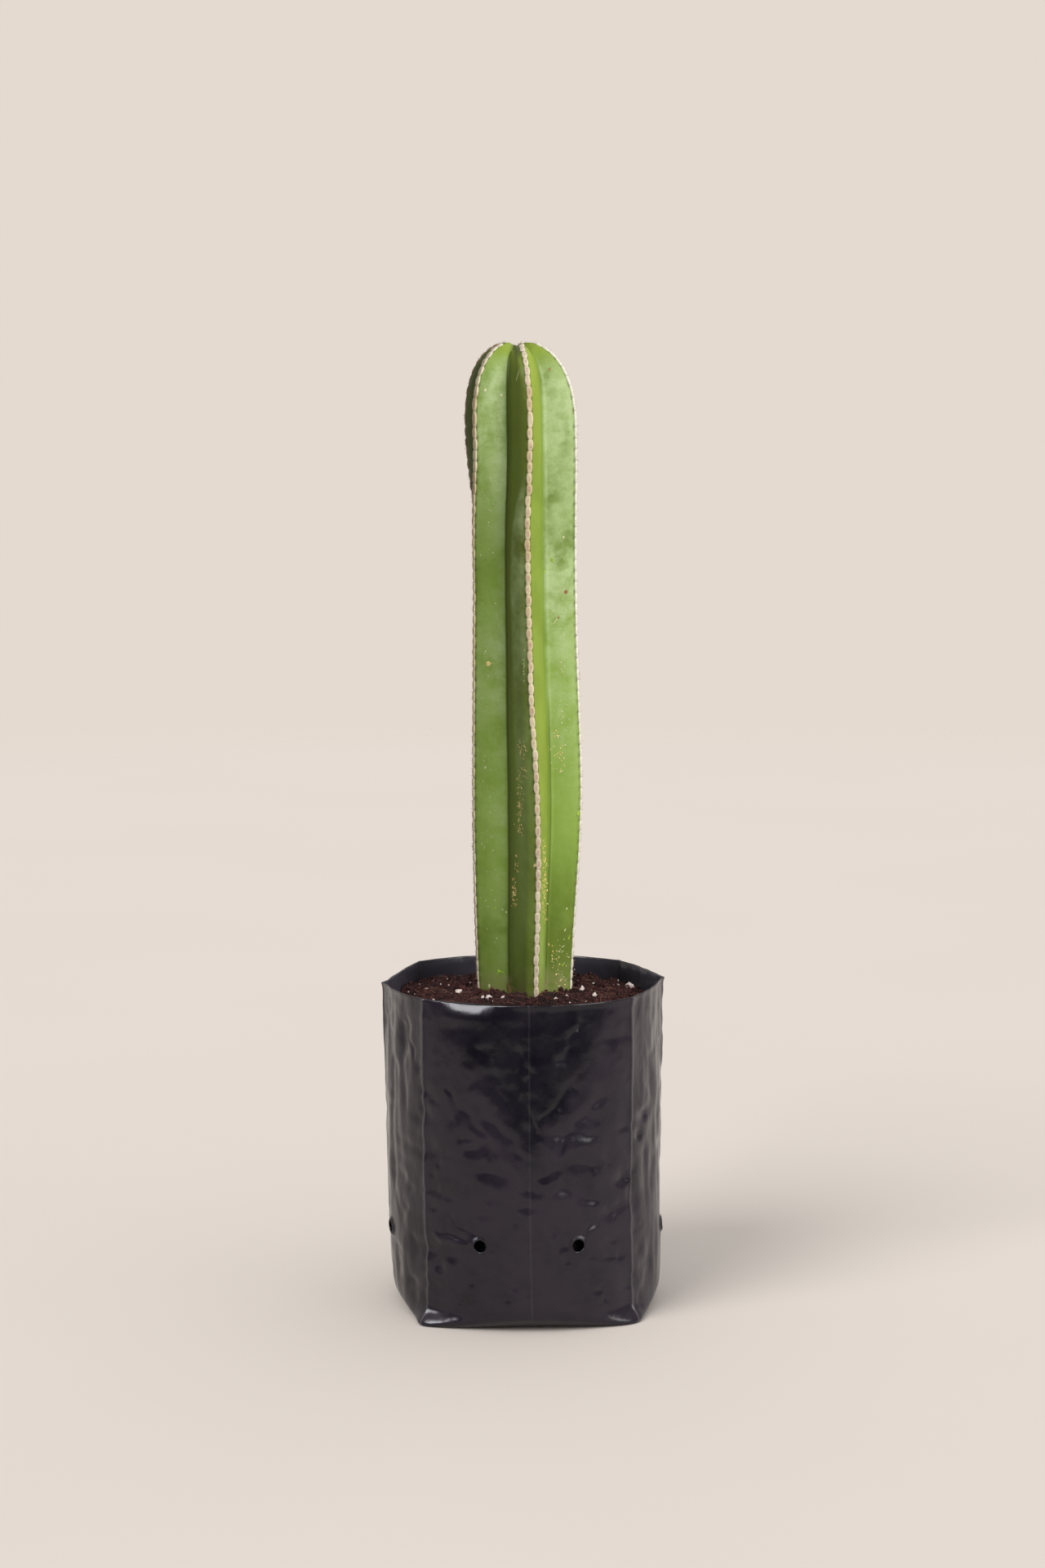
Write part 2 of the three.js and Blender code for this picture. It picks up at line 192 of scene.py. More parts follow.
def mapped_grid(columns, rows, place, marks=()):
    """A grid whose corner at column, row goes where place says, with marks painted on it."""
    bm = bmesh.new()
    uv = bm.loops.layers.uv.new("UVMap")
    layers = [bm.verts.layers.float.new(name) for name in marks]
    bmesh.ops.create_grid(bm, x_segments=columns, y_segments=rows, size=0.5)
    for vert in bm.verts:
        for loop in vert.link_loops:
            loop[uv].uv = (vert.co.x + 0.5, vert.co.y + 0.5)
    for vert in bm.verts:
        column = round((vert.co.x + 0.5) * columns)
        row = round((vert.co.y + 0.5) * rows)
        vert.co, values = place(column, row)
        for layer, value in zip(layers, values):
            vert[layer] = value
    return bm


def weld_and_turn(bm):
    bmesh.ops.remove_doubles(bm, verts=bm.verts, dist=MERGE_DISTANCE)
    bmesh.ops.recalc_face_normals(bm, faces=bm.faces)
    return bm


def pull_out(bm, edges):
    """Extrudes edges and returns the new corners and the new edges."""
    made = bmesh.ops.extrude_edge_only(bm, edges=edges)["geom"]
    verts = [item for item in made if isinstance(item, bmesh.types.BMVert)]
    return verts, [item for item in made if isinstance(item, bmesh.types.BMEdge)]


def copies(template, count):
    """One small mesh copied many times, and the corners of each copy."""
    bm = bmesh.new()
    for _ in range(count):
        bm.from_mesh(template)
    size = len(template.vertices)
    bm.verts.ensure_lookup_table()
    return bm, [bm.verts[i * size:(i + 1) * size] for i in range(count)]


def scatter(template, places):
    """Copies of one small mesh, each put in place by its own matrix."""
    bm, groups = copies(template, len(places))
    for verts, matrix in zip(groups, places):
        for vert in verts:
            vert.co = matrix @ vert.co
    return bm


# %% [markdown]
# Materials are node trees. These helpers keep each tree readable: one makes a plain noise,
# one stretches a value between two limits, one reads a mark that was painted on the mesh,
# and one lays pigments over each other. Patterns sit in object coordinates, in metres.


# %% Material helpers
class Finish:
    """The nodes of one material, or of the world, under short names."""

    def __init__(self, owner, coordinates="Object"):
        owner.use_nodes = True
        self.owner = owner
        self.tree = owner.node_tree
        self.place = self.node("TexCoord").outputs[coordinates]

    def node(self, kind, inputs=None, **settings):
        made = self.tree.nodes.new("ShaderNode" + kind)
        for key, value in settings.items():
            setattr(made, key, value)
        for key, value in (inputs or {}).items():
            self.join(value, made.inputs[key])
        return made

    def join(self, value, socket):
        if isinstance(value, bpy.types.NodeSocket):
            self.tree.links.new(value, socket)
        else:
            socket.default_value = value

    def stretched(self, factors):
        return self.node("Mapping", {"Vector": self.place, "Scale": factors}).outputs["Vector"]

    def noise(self, scale, detail=3.0, rough=0.55, place=None, twist=0.0):
        inputs = {"Vector": place or self.place, "Scale": scale, "Detail": detail,
                  "Roughness": rough, "Distortion": twist}
        return self.node("TexNoise", inputs).outputs["Fac"]

    def mark(self, name, strength=None):
        """A mark that was painted on the mesh, and how strongly it counts."""
        painted = self.node("Attribute", attribute_name=name).outputs["Fac"]
        return painted if strength is None else self.math("MULTIPLY", painted, strength)

    def span(self, value, low, high, start=0.0, end=1.0):
        inputs = {"Value": value, "From Min": low, "From Max": high, "To Min": start, "To Max": end}
        return self.node("MapRange", inputs, interpolation_type="SMOOTHSTEP").outputs["Result"]

    def math(self, operation, a, b=0.0):
        return self.node("Math", {0: a, 1: b}, operation=operation).outputs["Value"]

    def mix(self, factor, first, second):
        made = self.node("Mix", {0: factor}, data_type="RGBA")
        colours = [s for s in made.inputs if s.type == "RGBA"]
        for colour, socket in zip((first, second), colours):
            if isinstance(colour, tuple):
                colour = (*colour, 1.0)
            self.join(colour, socket)
        return next(s for s in made.outputs if s.type == "RGBA")

    def layers(self, colour, *pigments):
        """Pigments laid over a colour one by one, each as strongly as its factor says."""
        for factor, pigment in pigments:
            colour = self.mix(factor, colour, pigment)
        return colour

    def bump(self, height, distance, strength, under=None):
        inputs = {"Strength": strength, "Distance": distance, "Height": height}
        if under is not None:
            inputs["Normal"] = under
        return self.node("Bump", inputs).outputs["Normal"]

    def set(self, shader="Principled BSDF", **values):
        for name, value in values.items():
            self.join(value, self.tree.nodes[shader].inputs[name.replace("_", " ")])
        return self.owner


def finish_named(name):
    return Finish(bpy.data.materials.new(name))


def two_tone(name, scale, low, high, rough, ior):
    """A plain finish that wanders between two colours."""
    made = finish_named(name)
    colour = made.mix(made.span(made.noise(scale, 2), 0.35, 0.65), low, high)
    return made.set(Base_Color=colour, Roughness=rough, IOR=ior)


# %% [markdown]
# The stem's sizes are the CAD's own. Its edge is a line for each rib, which stands upright
# to the shoulder and then goes over a rounded dome to a small dimple at the growing tip.
# Heights count along that line, so the same numbers place the ribs, the felt and the marks.

# %% Stem sizes
SHOULDER = 505
DOME_PATH = 66
DOME_RISE = 48
DOME_RADIUS = 33
DOME_POWER = 2.35
DIMPLE_DEPTH = 3.0
DIMPLE_RADIUS = 5
FOOT_END = 125
CROWN = SHOULDER + DOME_PATH
STEM_RADIUS = [
    (FOOT_END, 12), (129, 20), (136, 24.5), (150, 26.5), (182, 27.8), (211, 29.1), (268, 31.6),
    (306, 32.1), (376, 30.7), (422, 30.1), (446, 30.7), (488, 32.7), (SHOULDER, DOME_RADIUS),
]
STEM_LEAN = [
    (150, 0.5), (211, 0.5), (268, 1.6), (306, 1.9), (376, 0.9), (422, 0.5), (446, 0), (488, -1.2),
    (SHOULDER, -1.8), (CROWN, -3.4),
]
RIBS = [
    [(224, 12), (251, 11.2), (279, 9.6), (307, 7.5), (321, 6.5), (335, 4.9), (348, 3.7), (376, 3.2),
        (404, 1.9), (445, 1.9), (459, 2.8), (473, 4.8), (487, 6), (501, 7.2), (530, 7.6)],
    [(422, 77.6), (500, 71.6)], [(422, 127.6)], [(422, 179.6), (500, 189.6)],
    [(422, 233.6), (500, 249.6)], [(422, 282.9), (500, 305.1)],
]
FRONT, RIGHT, BACK_RIGHT, BACK, BACK_LEFT, LEFT = range(6)
LAND_HALF_WIDTH = 1.3
VALLEY_RATIO = 0.56
VALLEY_FLOOR_RATIO = 0.6
VALLEY_POWER = 3.4
VALLEY_DROP = 2.2
VALLEY_RISE = DOME_RISE - DIMPLE_DEPTH - VALLEY_DROP
FACE_BULGE = 1.1
EDGE_FULL_RADIUS = 12
LAND_DEPTH = 0.8


# %% Places on the stem
def profile(path, power, rise):
    """Radius and height of a place along a rib's edge, or along a groove."""
    if path <= SHOULDER:
        return through(STEM_RADIUS, path), path
    turn = min(1.0, (path - SHOULDER) / DOME_PATH) * math.pi / 2
    radius = DOME_RADIUS * max(0.0, math.cos(turn)) ** (2 / power)
    return radius, SHOULDER + rise * math.sin(turn) ** (2 / power)


def edge_profile(path):
    radius, z = profile(path, DOME_POWER, DOME_RISE)
    if path > SHOULDER:
        z -= DIMPLE_DEPTH * bell(radius, DIMPLE_RADIUS)
    return radius, z


def stem_axis(path):
    return Vector((through(STEM_LEAN, path), 0.0, 0.0))


def edge_frame(rib, path):
    """A place on a rib's edge: point, outward normal, sideways direction and radius."""
    step = 0.5
    radius, z = edge_profile(path)
    radius_below, z_below = edge_profile(path - step)
    radius_above, z_above = edge_profile(min(path + step, CROWN))
    out = heading(through(RIBS[rib], path))
    normal = (out * (z_above - z_below) + UP * (radius_below - radius_above)).normalized()
    return out * radius + UP * z + stem_axis(path), normal, UP.cross(out), radius


# %% [markdown]
# The skin between two ribs is a V-shaped groove with slightly swollen walls. A grid is
# wrapped round the stem by a formula, its seam and poles are merged, and then every corner
# is pushed along its normal by soft noise, because living walls are taut but not machined.

# %% Stem skin shape
LAND_SHARE = 0.13
COLUMNS_PER_RIB = 28
AREOLE_PITCH = 6.2
FELT_START = 176
SOIL_LINE = 176
SHOULDER_SWELL = {(FRONT, -1): 0.9, (FRONT, 1): -0.2, (RIGHT, -1): 0.3, (LEFT, 1): 0.0}
STEM_PATHS = (
    spaced(FOOT_END, SOIL_LINE, 12) + spaced(SOIL_LINE, SHOULDER, 206)
    + spaced(SHOULDER, CROWN, 52) + [CROWN]
)


def groove_share(across):
    """0 in a groove and 1 on the flat land of a rib's edge."""
    return min(1.0, (1 - abs(2 * across - 1)) / (1 - LAND_SHARE))


def stem_place(rib, across, path, row_frames):
    """A point of the skin. across runs from 0, the groove before the rib, to 1."""
    side = -1 if across < 0.5 else 1
    from_land = abs(2 * across - 1)
    point, normal, sideways, radius = row_frames[rib]
    taper = min(1.0, radius / EDGE_FULL_RADIUS)
    land = point - normal * LAND_DEPTH * taper
    land_width = LAND_HALF_WIDTH * taper
    if from_land <= LAND_SHARE:
        return land + sideways * side * land_width * from_land / LAND_SHARE
    share = groove_share(across)
    wrap, neighbour = divmod(rib + side, len(RIBS))
    middle = (through(RIBS[rib], path) + through(RIBS[neighbour], path) + 360 * wrap) / 2
    groove_radius, groove_z = profile(path, VALLEY_POWER, VALLEY_RISE)
    out = heading(middle)
    groove = out * groove_radius * VALLEY_RATIO + UP * groove_z + stem_axis(path)
    chord = land + sideways * side * land_width - groove
    outward = (chord.cross(UP) * -side).normalized()
    swell = FACE_BULGE * math.sin(math.pi * share)
    swell += SHOULDER_SWELL.get((rib, side), 0.2) * bell(share - 0.78, 0.16)
    floor = (VALLEY_FLOOR_RATIO - VALLEY_RATIO) * groove_radius * bell(share, 0.035)
    return groove + chord * share + outward * swell * taper + out * floor


# %% [markdown]
# What is only colour is painted on the mesh as marks between 0 and 1, and the material
# mixes its pigments with them: the groove, the young tip, the pale wax bloom, the corky
# foot, faces that are olive, lime or fresh green, the small notches between the felt pads,
# and painted shade where the skin lies in shade. Some of it is painted light and shade
# rather than the plant's own colour: the shade in the grooves, in the crack and on the
# back-left face, the olive on faces that lie in shade, the lime fading towards a groove,
# and the bloom where it stands for lit skin. Each table gives a mark's strength by height.

# %% Painted marks on the skin
SKIN_MARKS = ("groove", "youth", "bloom", "cork", "olive", "lime", "fresh", "notch", "shade")
BLOOM_BY_FACE = {
    (FRONT, -1): [(180, 0), (250, 0.1), (330, 0.24), (380, 0.4), (430, 0.62), (460, 0.6), (476, 0.3),
        (486, 0)],
    (FRONT, 1): [(180, 0.3), (230, 0.06), (300, 0), (560, 0)],
    (RIGHT, -1): [(180, 0.16), (210, 0), (290, 0.12), (330, 0.36), (370, 0.46), (400, 0.85),
        (425, 0.95), (450, 0.6), (480, 0.75), (520, 0.9), (545, 0.3)],
    (LEFT, 1): [(180, 0.12), (240, 0.16), (290, 0.28), (330, 0.3), (376, 0.5), (415, 0.2), (440, 0.24),
        (480, 0.6), (520, 1), (545, 0.6)],
}
BLOOM_ELSEWHERE = [(180, 0.1), (300, 0.25), (420, 0.5), (500, 0.9), (545, 0.6)]
# the share of the face where the painted shadow of the left rib ends on the front rib's left face
PAINTED_SHADOW_EDGE = [(180, 0.45), (300, 0.35), (400, 0.26), (430, 0.26), (455, 0.5), (484, 0.95)]
LIME_FRONT = [(180, 0.4), (260, 0.55), (330, 0.8), (380, 0.55), (470, 0.6), (510, 0.95)]
FRESH_LEFT = [(180, 0.15), (230, 0.3), (270, 0.7), (330, 0.65), (400, 0.6), (440, 0.45)]


def areole_wave(path):
    return math.cos(2 * math.pi * (path - FELT_START) / AREOLE_PITCH)


def skin_values(rib, across, path):
    face = (rib, -1 if across < 0.5 else 1)
    share = groove_share(across)
    youth = smoothstep(path, 528, 562)
    bloom = through(BLOOM_BY_FACE.get(face, BLOOM_ELSEWHERE), path)
    cork = 1 - smoothstep(path, 178, 204)
    olive, lime, fresh = 0.0, 0.0, 0.2
    # painted shade: the skin is darkened in each groove, where shade falls
    shade = 0.8 * (1 - smoothstep(share, 0, 0.07))
    upper_shade = 0.35 + 0.5 * (1 - smoothstep(path, 320, 370))
    if face == (FRONT, -1):
        # painted light: beside the painted shadow edge the pale bloom stands for the lit part of this face
        edge = through(PAINTED_SHADOW_EDGE, path)
        bloom *= smoothstep(share, edge - 0.1, edge + 0.1)
        # painted shade: this face lies in shade, so it is olive and darker towards its groove
        olive = 0.6 + 0.4 * smoothstep(path, 300, 400)
        shade += 0.4 * (1 - smoothstep(share, 0, 0.32))
    elif face == (BACK_LEFT, 1):
        # painted shade: the back-left face lies in shade, so it is olive, shaded and without bloom
        olive, bloom, shade = 1.0, 0.0, 0.8
    elif face == (FRONT, 1):
        # painted shade: the lime fades towards the groove, so the face darkens there
        lime = through(LIME_FRONT, path) * (0.3 + 0.7 * smoothstep(share, 0.05, 0.4))
        shade *= upper_shade
    elif face == (RIGHT, -1):
        fresh = 0.8 * smoothstep(path, 225, 285) * (1 - smoothstep(path, 380, 450))
        olive = 0.45 * (1 - smoothstep(path, 205, 262))
        shade *= upper_shade
    elif face == (LEFT, 1):
        fresh = through(FRESH_LEFT, path)
        olive = 0.3 * (1 - smoothstep(path, 195, 250))
        # painted light: the bloom brightens this face towards its groove, where shade would fall
        bloom = min(1.0, bloom * (0.75 + 0.9 * (1 - smoothstep(share, 0, 0.7))))
    notch = smoothstep(share, 0.9, 0.98) * (0.35 + 0.65 * smoothstep(areole_wave(path), -0.3, 0.9))
    return share, youth, bloom, cork, olive, lime, fresh, notch, min(shade, 0.9)


# %% Shape the skin
RIPPLES = [(0.45, 30, 34), (0.2, 11, 9), (0.07, 5, 3.2)]
CRACK_PIXEL = (633, 430)
CRACK_WIDTH = 1.9
CRACK_DEPTH = 1.5
CRACK_X = seen_at(stem_surface, *CRACK_PIXEL)[0].x


def crack(spot):
    """1 in the gap between the lobes of the growing point, 0 away from it."""
    return bell(spot.x - CRACK_X, CRACK_WIDTH) * smoothstep(spot.z, 540, 549)


def ripple_skin(bm):
    """Unevenness along the normals, felt-pad scallops at the edges, painted shade in the tip's crack."""
    share_layer = bm.verts.layers.float["groove"]
    shade_layer = bm.verts.layers.float["shade"]
    bm.normal_update()
    moves = []
    for vert in bm.verts:
        x, y, z = vert.co
        swell = sum(deep * wander(x / wide, y / wide, z / tall) for deep, wide, tall in RIPPLES)
        edge = smoothstep(vert[share_layer], 0.8, 0.97)
        still = smoothstep(z, 535, 550)
        moves.append((swell * (1 - edge * 0.6) - 0.16 * areole_wave(z) * edge) * (1 - still))
    for vert, move in zip(bm.verts, moves):
        vert.co += vert.normal * move
        gap = crack(vert.co)
        vert.co.z -= CRACK_DEPTH * gap
        # painted shade in the crack between the lobes of the growing point
        vert[shade_layer] = max(vert[shade_layer], 0.9 * gap)


def stem_skin():
    frames = [[edge_frame(rib, path) for rib in range(len(RIBS))] for path in STEM_PATHS]

    def place(column, row):
        path = STEM_PATHS[row]
        rib = (column // COLUMNS_PER_RIB) % len(RIBS)
        across = (column % COLUMNS_PER_RIB) / COLUMNS_PER_RIB
        values = skin_values(rib, across, path)
        if row == 0:
            return stem_axis(path) + UP * path, values
        return stem_place(rib, across, path, frames[row]), values

    bm = mapped_grid(COLUMNS_PER_RIB * len(RIBS), len(STEM_PATHS) - 1, place, SKIN_MARKS)
    weld_and_turn(bm)
    ripple_skin(bm)
    return bm


# %% [markdown]
# Living cactus skin is a deep green under a thin coat of wax. Where the wax is whole the
# plant looks pale and slightly blue, and where it has rubbed off the green is strong. The
# same pale wax colour is also laid on as painted light: on the lit part of the front rib's
# left face below the painted edge of a shadow, and on the left rib's face near its groove.
# The growing tip is young and yellow green, and the foot turns corky.

# %% Skin finish
DEEP_GREEN = (0.14, 0.22, 0.026)
MID_GREEN = (0.205, 0.31, 0.045)
FRESH_GREEN = (0.285, 0.43, 0.07)
# wax bloom, and painted light where it marks lit skin
WAX_BLOOM_AND_LIGHT = (0.46, 0.58, 0.27)
YOUNG_GREEN = (0.37, 0.45, 0.055)
TIP_GREEN = (0.29, 0.38, 0.045)
# olive: the plant's own colour near the foot, and painted shade on faces that lie in shade
OLIVE_AND_SHADE_GREEN = (0.105, 0.12, 0.014)
# painted shade: the colour laid on skin that lies in shade
SHADE_GREEN = (0.042, 0.058, 0.009)
CORK = (0.27, 0.24, 0.105)
MARGIN_GREEN = (0.07, 0.105, 0.012)


def skin_finish():
    skin = finish_named("stem_skin")
    cloud = skin.noise(48, 4, 0.6, skin.stretched((1.0, 1.0, 0.7)), 0.3)
    wisps = skin.noise(120, 5, 0.6, skin.stretched((1.0, 1.0, 1.5)), 0.4)
    fine = skin.noise(900, 3, 0.6)
    patches = skin.math("ADD", skin.span(cloud, 0.32, 0.64, 0.2, 1.0),
                        skin.span(wisps, 0.34, 0.66, -0.2, 0.3))
    wax_and_light = skin.math("MULTIPLY", skin.mark("bloom", patches),
                    skin.span(skin.mark("youth"), 0.1, 0.9, 1.0, 0.15))
    colour = skin.layers(
        DEEP_GREEN, (skin.span(cloud, 0.36, 0.64), MID_GREEN), (skin.mark("olive", 0.85), OLIVE_AND_SHADE_GREEN),
        (skin.mark("fresh", 0.9), FRESH_GREEN), (skin.mark("lime", 0.55), YOUNG_GREEN),
        (wax_and_light, WAX_BLOOM_AND_LIGHT), (skin.mark("youth", 0.8), TIP_GREEN), (skin.mark("shade"), SHADE_GREEN),
        (skin.mark("notch", skin.span(wisps, 0.35, 0.6, 0.5, 0.9)), MARGIN_GREEN),
        (skin.mark("cork", skin.span(wisps, 0.38, 0.62, 0.1, 0.9)), CORK),
        (skin.span(fine, 0.3, 0.7, 0.0, 0.12), DEEP_GREEN),
    )
    normal = skin.bump(wisps, 0.0005, 0.3, skin.bump(fine, 0.00012, 0.35))
    return skin.set(Base_Color=colour, Normal=normal, Roughness=skin.span(wax_and_light, 0.0, 0.8, 0.4, 0.6),
                    IOR=1.4, Specular_IOR_Level=0.3, Subsurface_Weight=0.06,
                    Subsurface_Scale=0.004, Subsurface_Radius=(0.6, 1.0, 0.25))


# %% Make the stem
stem = finish_piece("stem_skin", stem_skin(), skin_finish(), ["cactus_stem"])

# %% [markdown]
# Every rib edge carries a line of areoles, the felted cushions that a cactus grows its
# spines from. In this kind they touch, so they read as one cream cord. Each line is a tube
# wrapped from a grid that swells once for each areole, with a slight zigzag.

# %% Felt sizes
FELT_END = SHOULDER + 61
BEAD_HALF_WIDTH = 1.55
NECK_HALF_WIDTH = 0.98
BEAD_HEIGHT = 0.88
NECK_HEIGHT = 0.36
FELT_ROOT = 0.5
ROWS_PER_AREOLE = 9
FELT_COLUMNS = 14
BEAD_SIZES = (0.88, 1.1)
ZIGZAG, ZIGZAG_CHANCE = 0.17, 0.12
MIDDLE_REACH, MIDDLE_DEPTH = 0.75, 0.22
BUD_SIZE = 0.6
BUD_REACH = 30
FELT_MARKS = ("middle", "age", "pale", "neck")


def bud_size(radius):
    """Felt and hairs are smaller near the growing point."""
    return min(1.0, BUD_SIZE + radius / BUD_REACH)


def signed_power(value, power):
    return math.copysign(abs(value) ** power, value)


def felt_line(rib):
    count = int((FELT_END - FELT_START) / AREOLE_PITCH)
    rows = count * ROWS_PER_AREOLE
    dice = random.Random(40 + rib)
    sizes = [dice.uniform(*BEAD_SIZES) for _ in range(count + 1)]
    shifts = [dice.uniform(-ZIGZAG_CHANCE, ZIGZAG_CHANCE) + (ZIGZAG if i % 2 else -ZIGZAG)
              for i in range(count + 1)]
    # painted backlight: the right line stands against the light, so its felt is painted white
    pale, stands = (1.0, 1.3) if rib == RIGHT else (0.0, 1.0)
    # painted shade: the back-left line lies in shade, so its felt is darkened
    shaded_line = 0.9 if rib == BACK_LEFT else 0.0

    def place(column, row):
        path = FELT_START + row * AREOLE_PITCH / ROWS_PER_AREOLE
        index = min(count, row // ROWS_PER_AREOLE)
        phase = ((path - FELT_START) / AREOLE_PITCH) % 1.0
        swell = math.sin(math.pi * phase) ** 0.7 * sizes[index]
        point, normal, sideways, radius = edge_frame(rib, path)
        size = bud_size(radius)
        land = point - normal * LAND_DEPTH * size
        turn = 2 * math.pi * column / FELT_COLUMNS
        half_width = NECK_HALF_WIDTH + (BEAD_HALF_WIDTH - NECK_HALF_WIDTH) * swell
        if rib == LEFT:
            half_width *= 1 + 0.12 * smoothstep(path, 440, 500)
        height = (NECK_HEIGHT + (BEAD_HEIGHT - NECK_HEIGHT) * swell) * stands
        rise = height if math.sin(turn) > 0 else FELT_ROOT
        across = half_width * signed_power(math.cos(turn), 0.75)
        up = rise * signed_power(math.sin(turn), 0.8)
        middle = bell(across, MIDDLE_REACH) * smoothstep(swell, 0.45, 0.95) if up > 0 else 0.0
        up -= MIDDLE_DEPTH * middle
        across += shifts[index] * swell
        end = smoothstep(row, 0, 3) * smoothstep(rows - row, 0, 3)
        spot = land + (sideways * across + normal * up) * size * end
        lump = noise.noise(spot / 1.1) * 0.16 + noise.noise(spot / 0.5) * 0.08
        spot += normal * lump * size * end * (1 if up > 0 else 0)
        spot.z -= CRACK_DEPTH * crack(spot)
        # painted shade in the necks between the felt pads
        neck = max(shaded_line, 1 - smoothstep(swell, 0.1, 0.6))
        # painted backlight: the felt over the shoulder is painted whiter
        backlit_white = max(pale, 0.6 * smoothstep(path, 515, 550) * (1 - shaded_line))
        return spot, (max(middle, shaded_line), 1 - smoothstep(path, 230, 390), backlit_white, neck)

    return weld_and_turn(mapped_grid(FELT_COLUMNS, rows, place, FELT_MARKS))


# %% Felt finish
FELT_CREAM = (0.74, 0.59, 0.36)
FELT_PALE = (0.90, 0.79, 0.54)
# painted backlight: the white of felt lit from behind
FELT_BACKLIT_WHITE = (0.97, 0.95, 0.86)
# brown of the pads' middles, also laid on as painted shade
FELT_MIDDLE_AND_SHADE = (0.36, 0.215, 0.145)
FELT_OLD = (0.74, 0.68, 0.57)


def felt_finish():
    felt = finish_named("areole_felt")
    cloud = felt.noise(60, 3, 0.6)
    fluff = felt.noise(1500, 4, 0.7)
    colour = felt.layers(
        FELT_CREAM, (felt.span(cloud, 0.38, 0.64), FELT_PALE), (felt.mark("pale", 0.92), FELT_BACKLIT_WHITE),
        (felt.mark("age", 0.6), FELT_OLD), (felt.mark("neck", 0.45), FELT_MIDDLE_AND_SHADE),
        (felt.mark("middle", felt.span(cloud, 0.3, 0.6, 1.0, 0.55)), FELT_MIDDLE_AND_SHADE),
        (felt.span(fluff, 0.3, 0.55, 0.35, 0.0), FELT_MIDDLE_AND_SHADE),
    )
    return felt.set(Base_Color=colour, Normal=felt.bump(fluff, 0.0005, 0.7), Roughness=0.95, IOR=1.3,
                    Sheen_Weight=0.3, Sheen_Roughness=0.5, Sheen_Tint=(1.0, 0.9, 0.72, 1.0))


felt_material = felt_finish()
for rib in range(len(RIBS)):
    finish_piece(f"felt_line_{rib + 1}", felt_line(rib), felt_material,
                 [f"areole_felt_{rib + 1}"])

# %% [markdown]
# Close up, the felt ends in short loose hairs, and a few stiff spines lean out of each
# cushion. Hair curves don't survive an export, so each hair is a thin three-sided cone,
# copied by the thousand, and a spine is a thicker and longer one.

# %% Hairs and spines
HAIRS_PER_AREOLE = 11
SPINES_PER_AREOLE = 3
HAIR_RADIUS = 0.05
SPINE_RADIUS = 0.11
SPINES_START = FELT_START + 10


def cone_template(name, radius, sides):
    bm = bmesh.new()
    bmesh.ops.create_cone(bm, cap_ends=False, segments=sides, radius1=radius,
                          radius2=radius * 0.15, depth=1.0)
    bmesh.ops.translate(bm, vec=(0, 0, 0.5), verts=bm.verts)
    return as_mesh(name, bm)


def felt_hairs(per_areole, shortest, longest, spread, seed, first):
    dice = random.Random(seed)
    places = []
    for rib in range(len(RIBS)):
        for _ in range(int((FELT_END - first) / AREOLE_PITCH) * per_areole):
            path = dice.uniform(first, FELT_END)
            point, normal, sideways, radius = edge_frame(rib, path)
            size = bud_size(radius)
            turn = dice.uniform(-spread, spread)
            direction = normal * math.cos(turn) + sideways * math.sin(turn)
            direction += normal.cross(sideways) * dice.uniform(-0.6, 0.6)
            root = point + sideways * math.sin(turn) * 1.15 * size
            root -= normal * (0.35 + 0.75 * (1 - math.cos(turn))) * size
            root.z -= CRACK_DEPTH * crack(root)
            frayed = 1 + 0.6 * (1 - smoothstep(path, 185, 215))
            length = dice.uniform(shortest, longest) * size * frayed
            lean = direction.normalized().to_track_quat("Z", "Y").to_matrix().to_4x4()
            places.append(Matrix.Translation(root) @ lean @ Matrix.Diagonal((1, 1, length, 1)))
    return places


hair_finish = two_tone("felt_hair", 300, FELT_CREAM, (0.92, 0.88, 0.76), 0.8, 1.3)
hair_places = felt_hairs(HAIRS_PER_AREOLE, 0.4, 0.95, 1.35, 71, FELT_START + 2)
hairs = scatter(cone_template("hair", HAIR_RADIUS, 3), hair_places)
finish_piece("felt_hairs", hairs, hair_finish)
spine_finish = two_tone("spine_horn", 400, (0.5, 0.38, 0.22), (0.16, 0.09, 0.05), 0.45, 1.45)
spine_places = felt_hairs(SPINES_PER_AREOLE, 0.9, 1.9, 1.0, 72, SPINES_START)
spines = scatter(cone_template("spine", SPINE_RADIUS, 4), spine_places)
finish_piece("short_spines", spines, spine_finish)

# %% [markdown]
# The bag is a flat tube of black polyethylene with folded gussets, opened into a square
# foot and a nearly round body. The old folds stay as standing lines: four up from the
# corners of the foot, one down the middle of each panel. The CAD's formula gives the
# section, and finer folds and slack places are added to it.

# %% Bag sizes
BAG_GIRTH = 500
BAG_HEIGHT = 187.5
BAG_RADIUS = BAG_GIRTH / (2 * math.pi)
FILM_THICKNESS = 0.35
ROUND_POWER = 2.05
SQUARE_POWER = 6
SQUARE_FADE = 2.6
FOOT_ROUND = 2.6
FOOT_HEIGHT = 4
FOOT_TAPER = 2
TAPER_FADE = 35
BAG_LEAN = [(0, 2), (20, 1.5), (45, 0.9), (90, 0.2), (BAG_HEIGHT, 0)]
CORNER_FOLDS = (-47, 47, 133, -133)
PANEL_FOLDS = (0, 180)
GUSSET_FOLDS = (90, -90)
CAD_DENTS = [
    (-12, 138, 9, 38, 1.6), (14, 142, 8, 36, 1.5), (-30, 52, 12, 18, 1.2), (32, 60, 12, 20, 1.2),
    (-64, 105, 11, 34, 1.3), (66, 98, 11, 36, 1.3), (-112, 120, 14, 30, 1.4), (116, 86, 14, 34, 1.4),
    (-158, 112, 12, 36, 1.5), (157, 130, 12, 34, 1.5), (176, 60, 14, 24, 1.2), (-2, 40, 12, 16, 1),
]
DRAIN_RADIUS = 3.5
DRAINS = [(-160, 50), (-104, 47), (-78, 47), (-21, 50), (20, 50), (85, 45), (108, 47), (160, 50)]


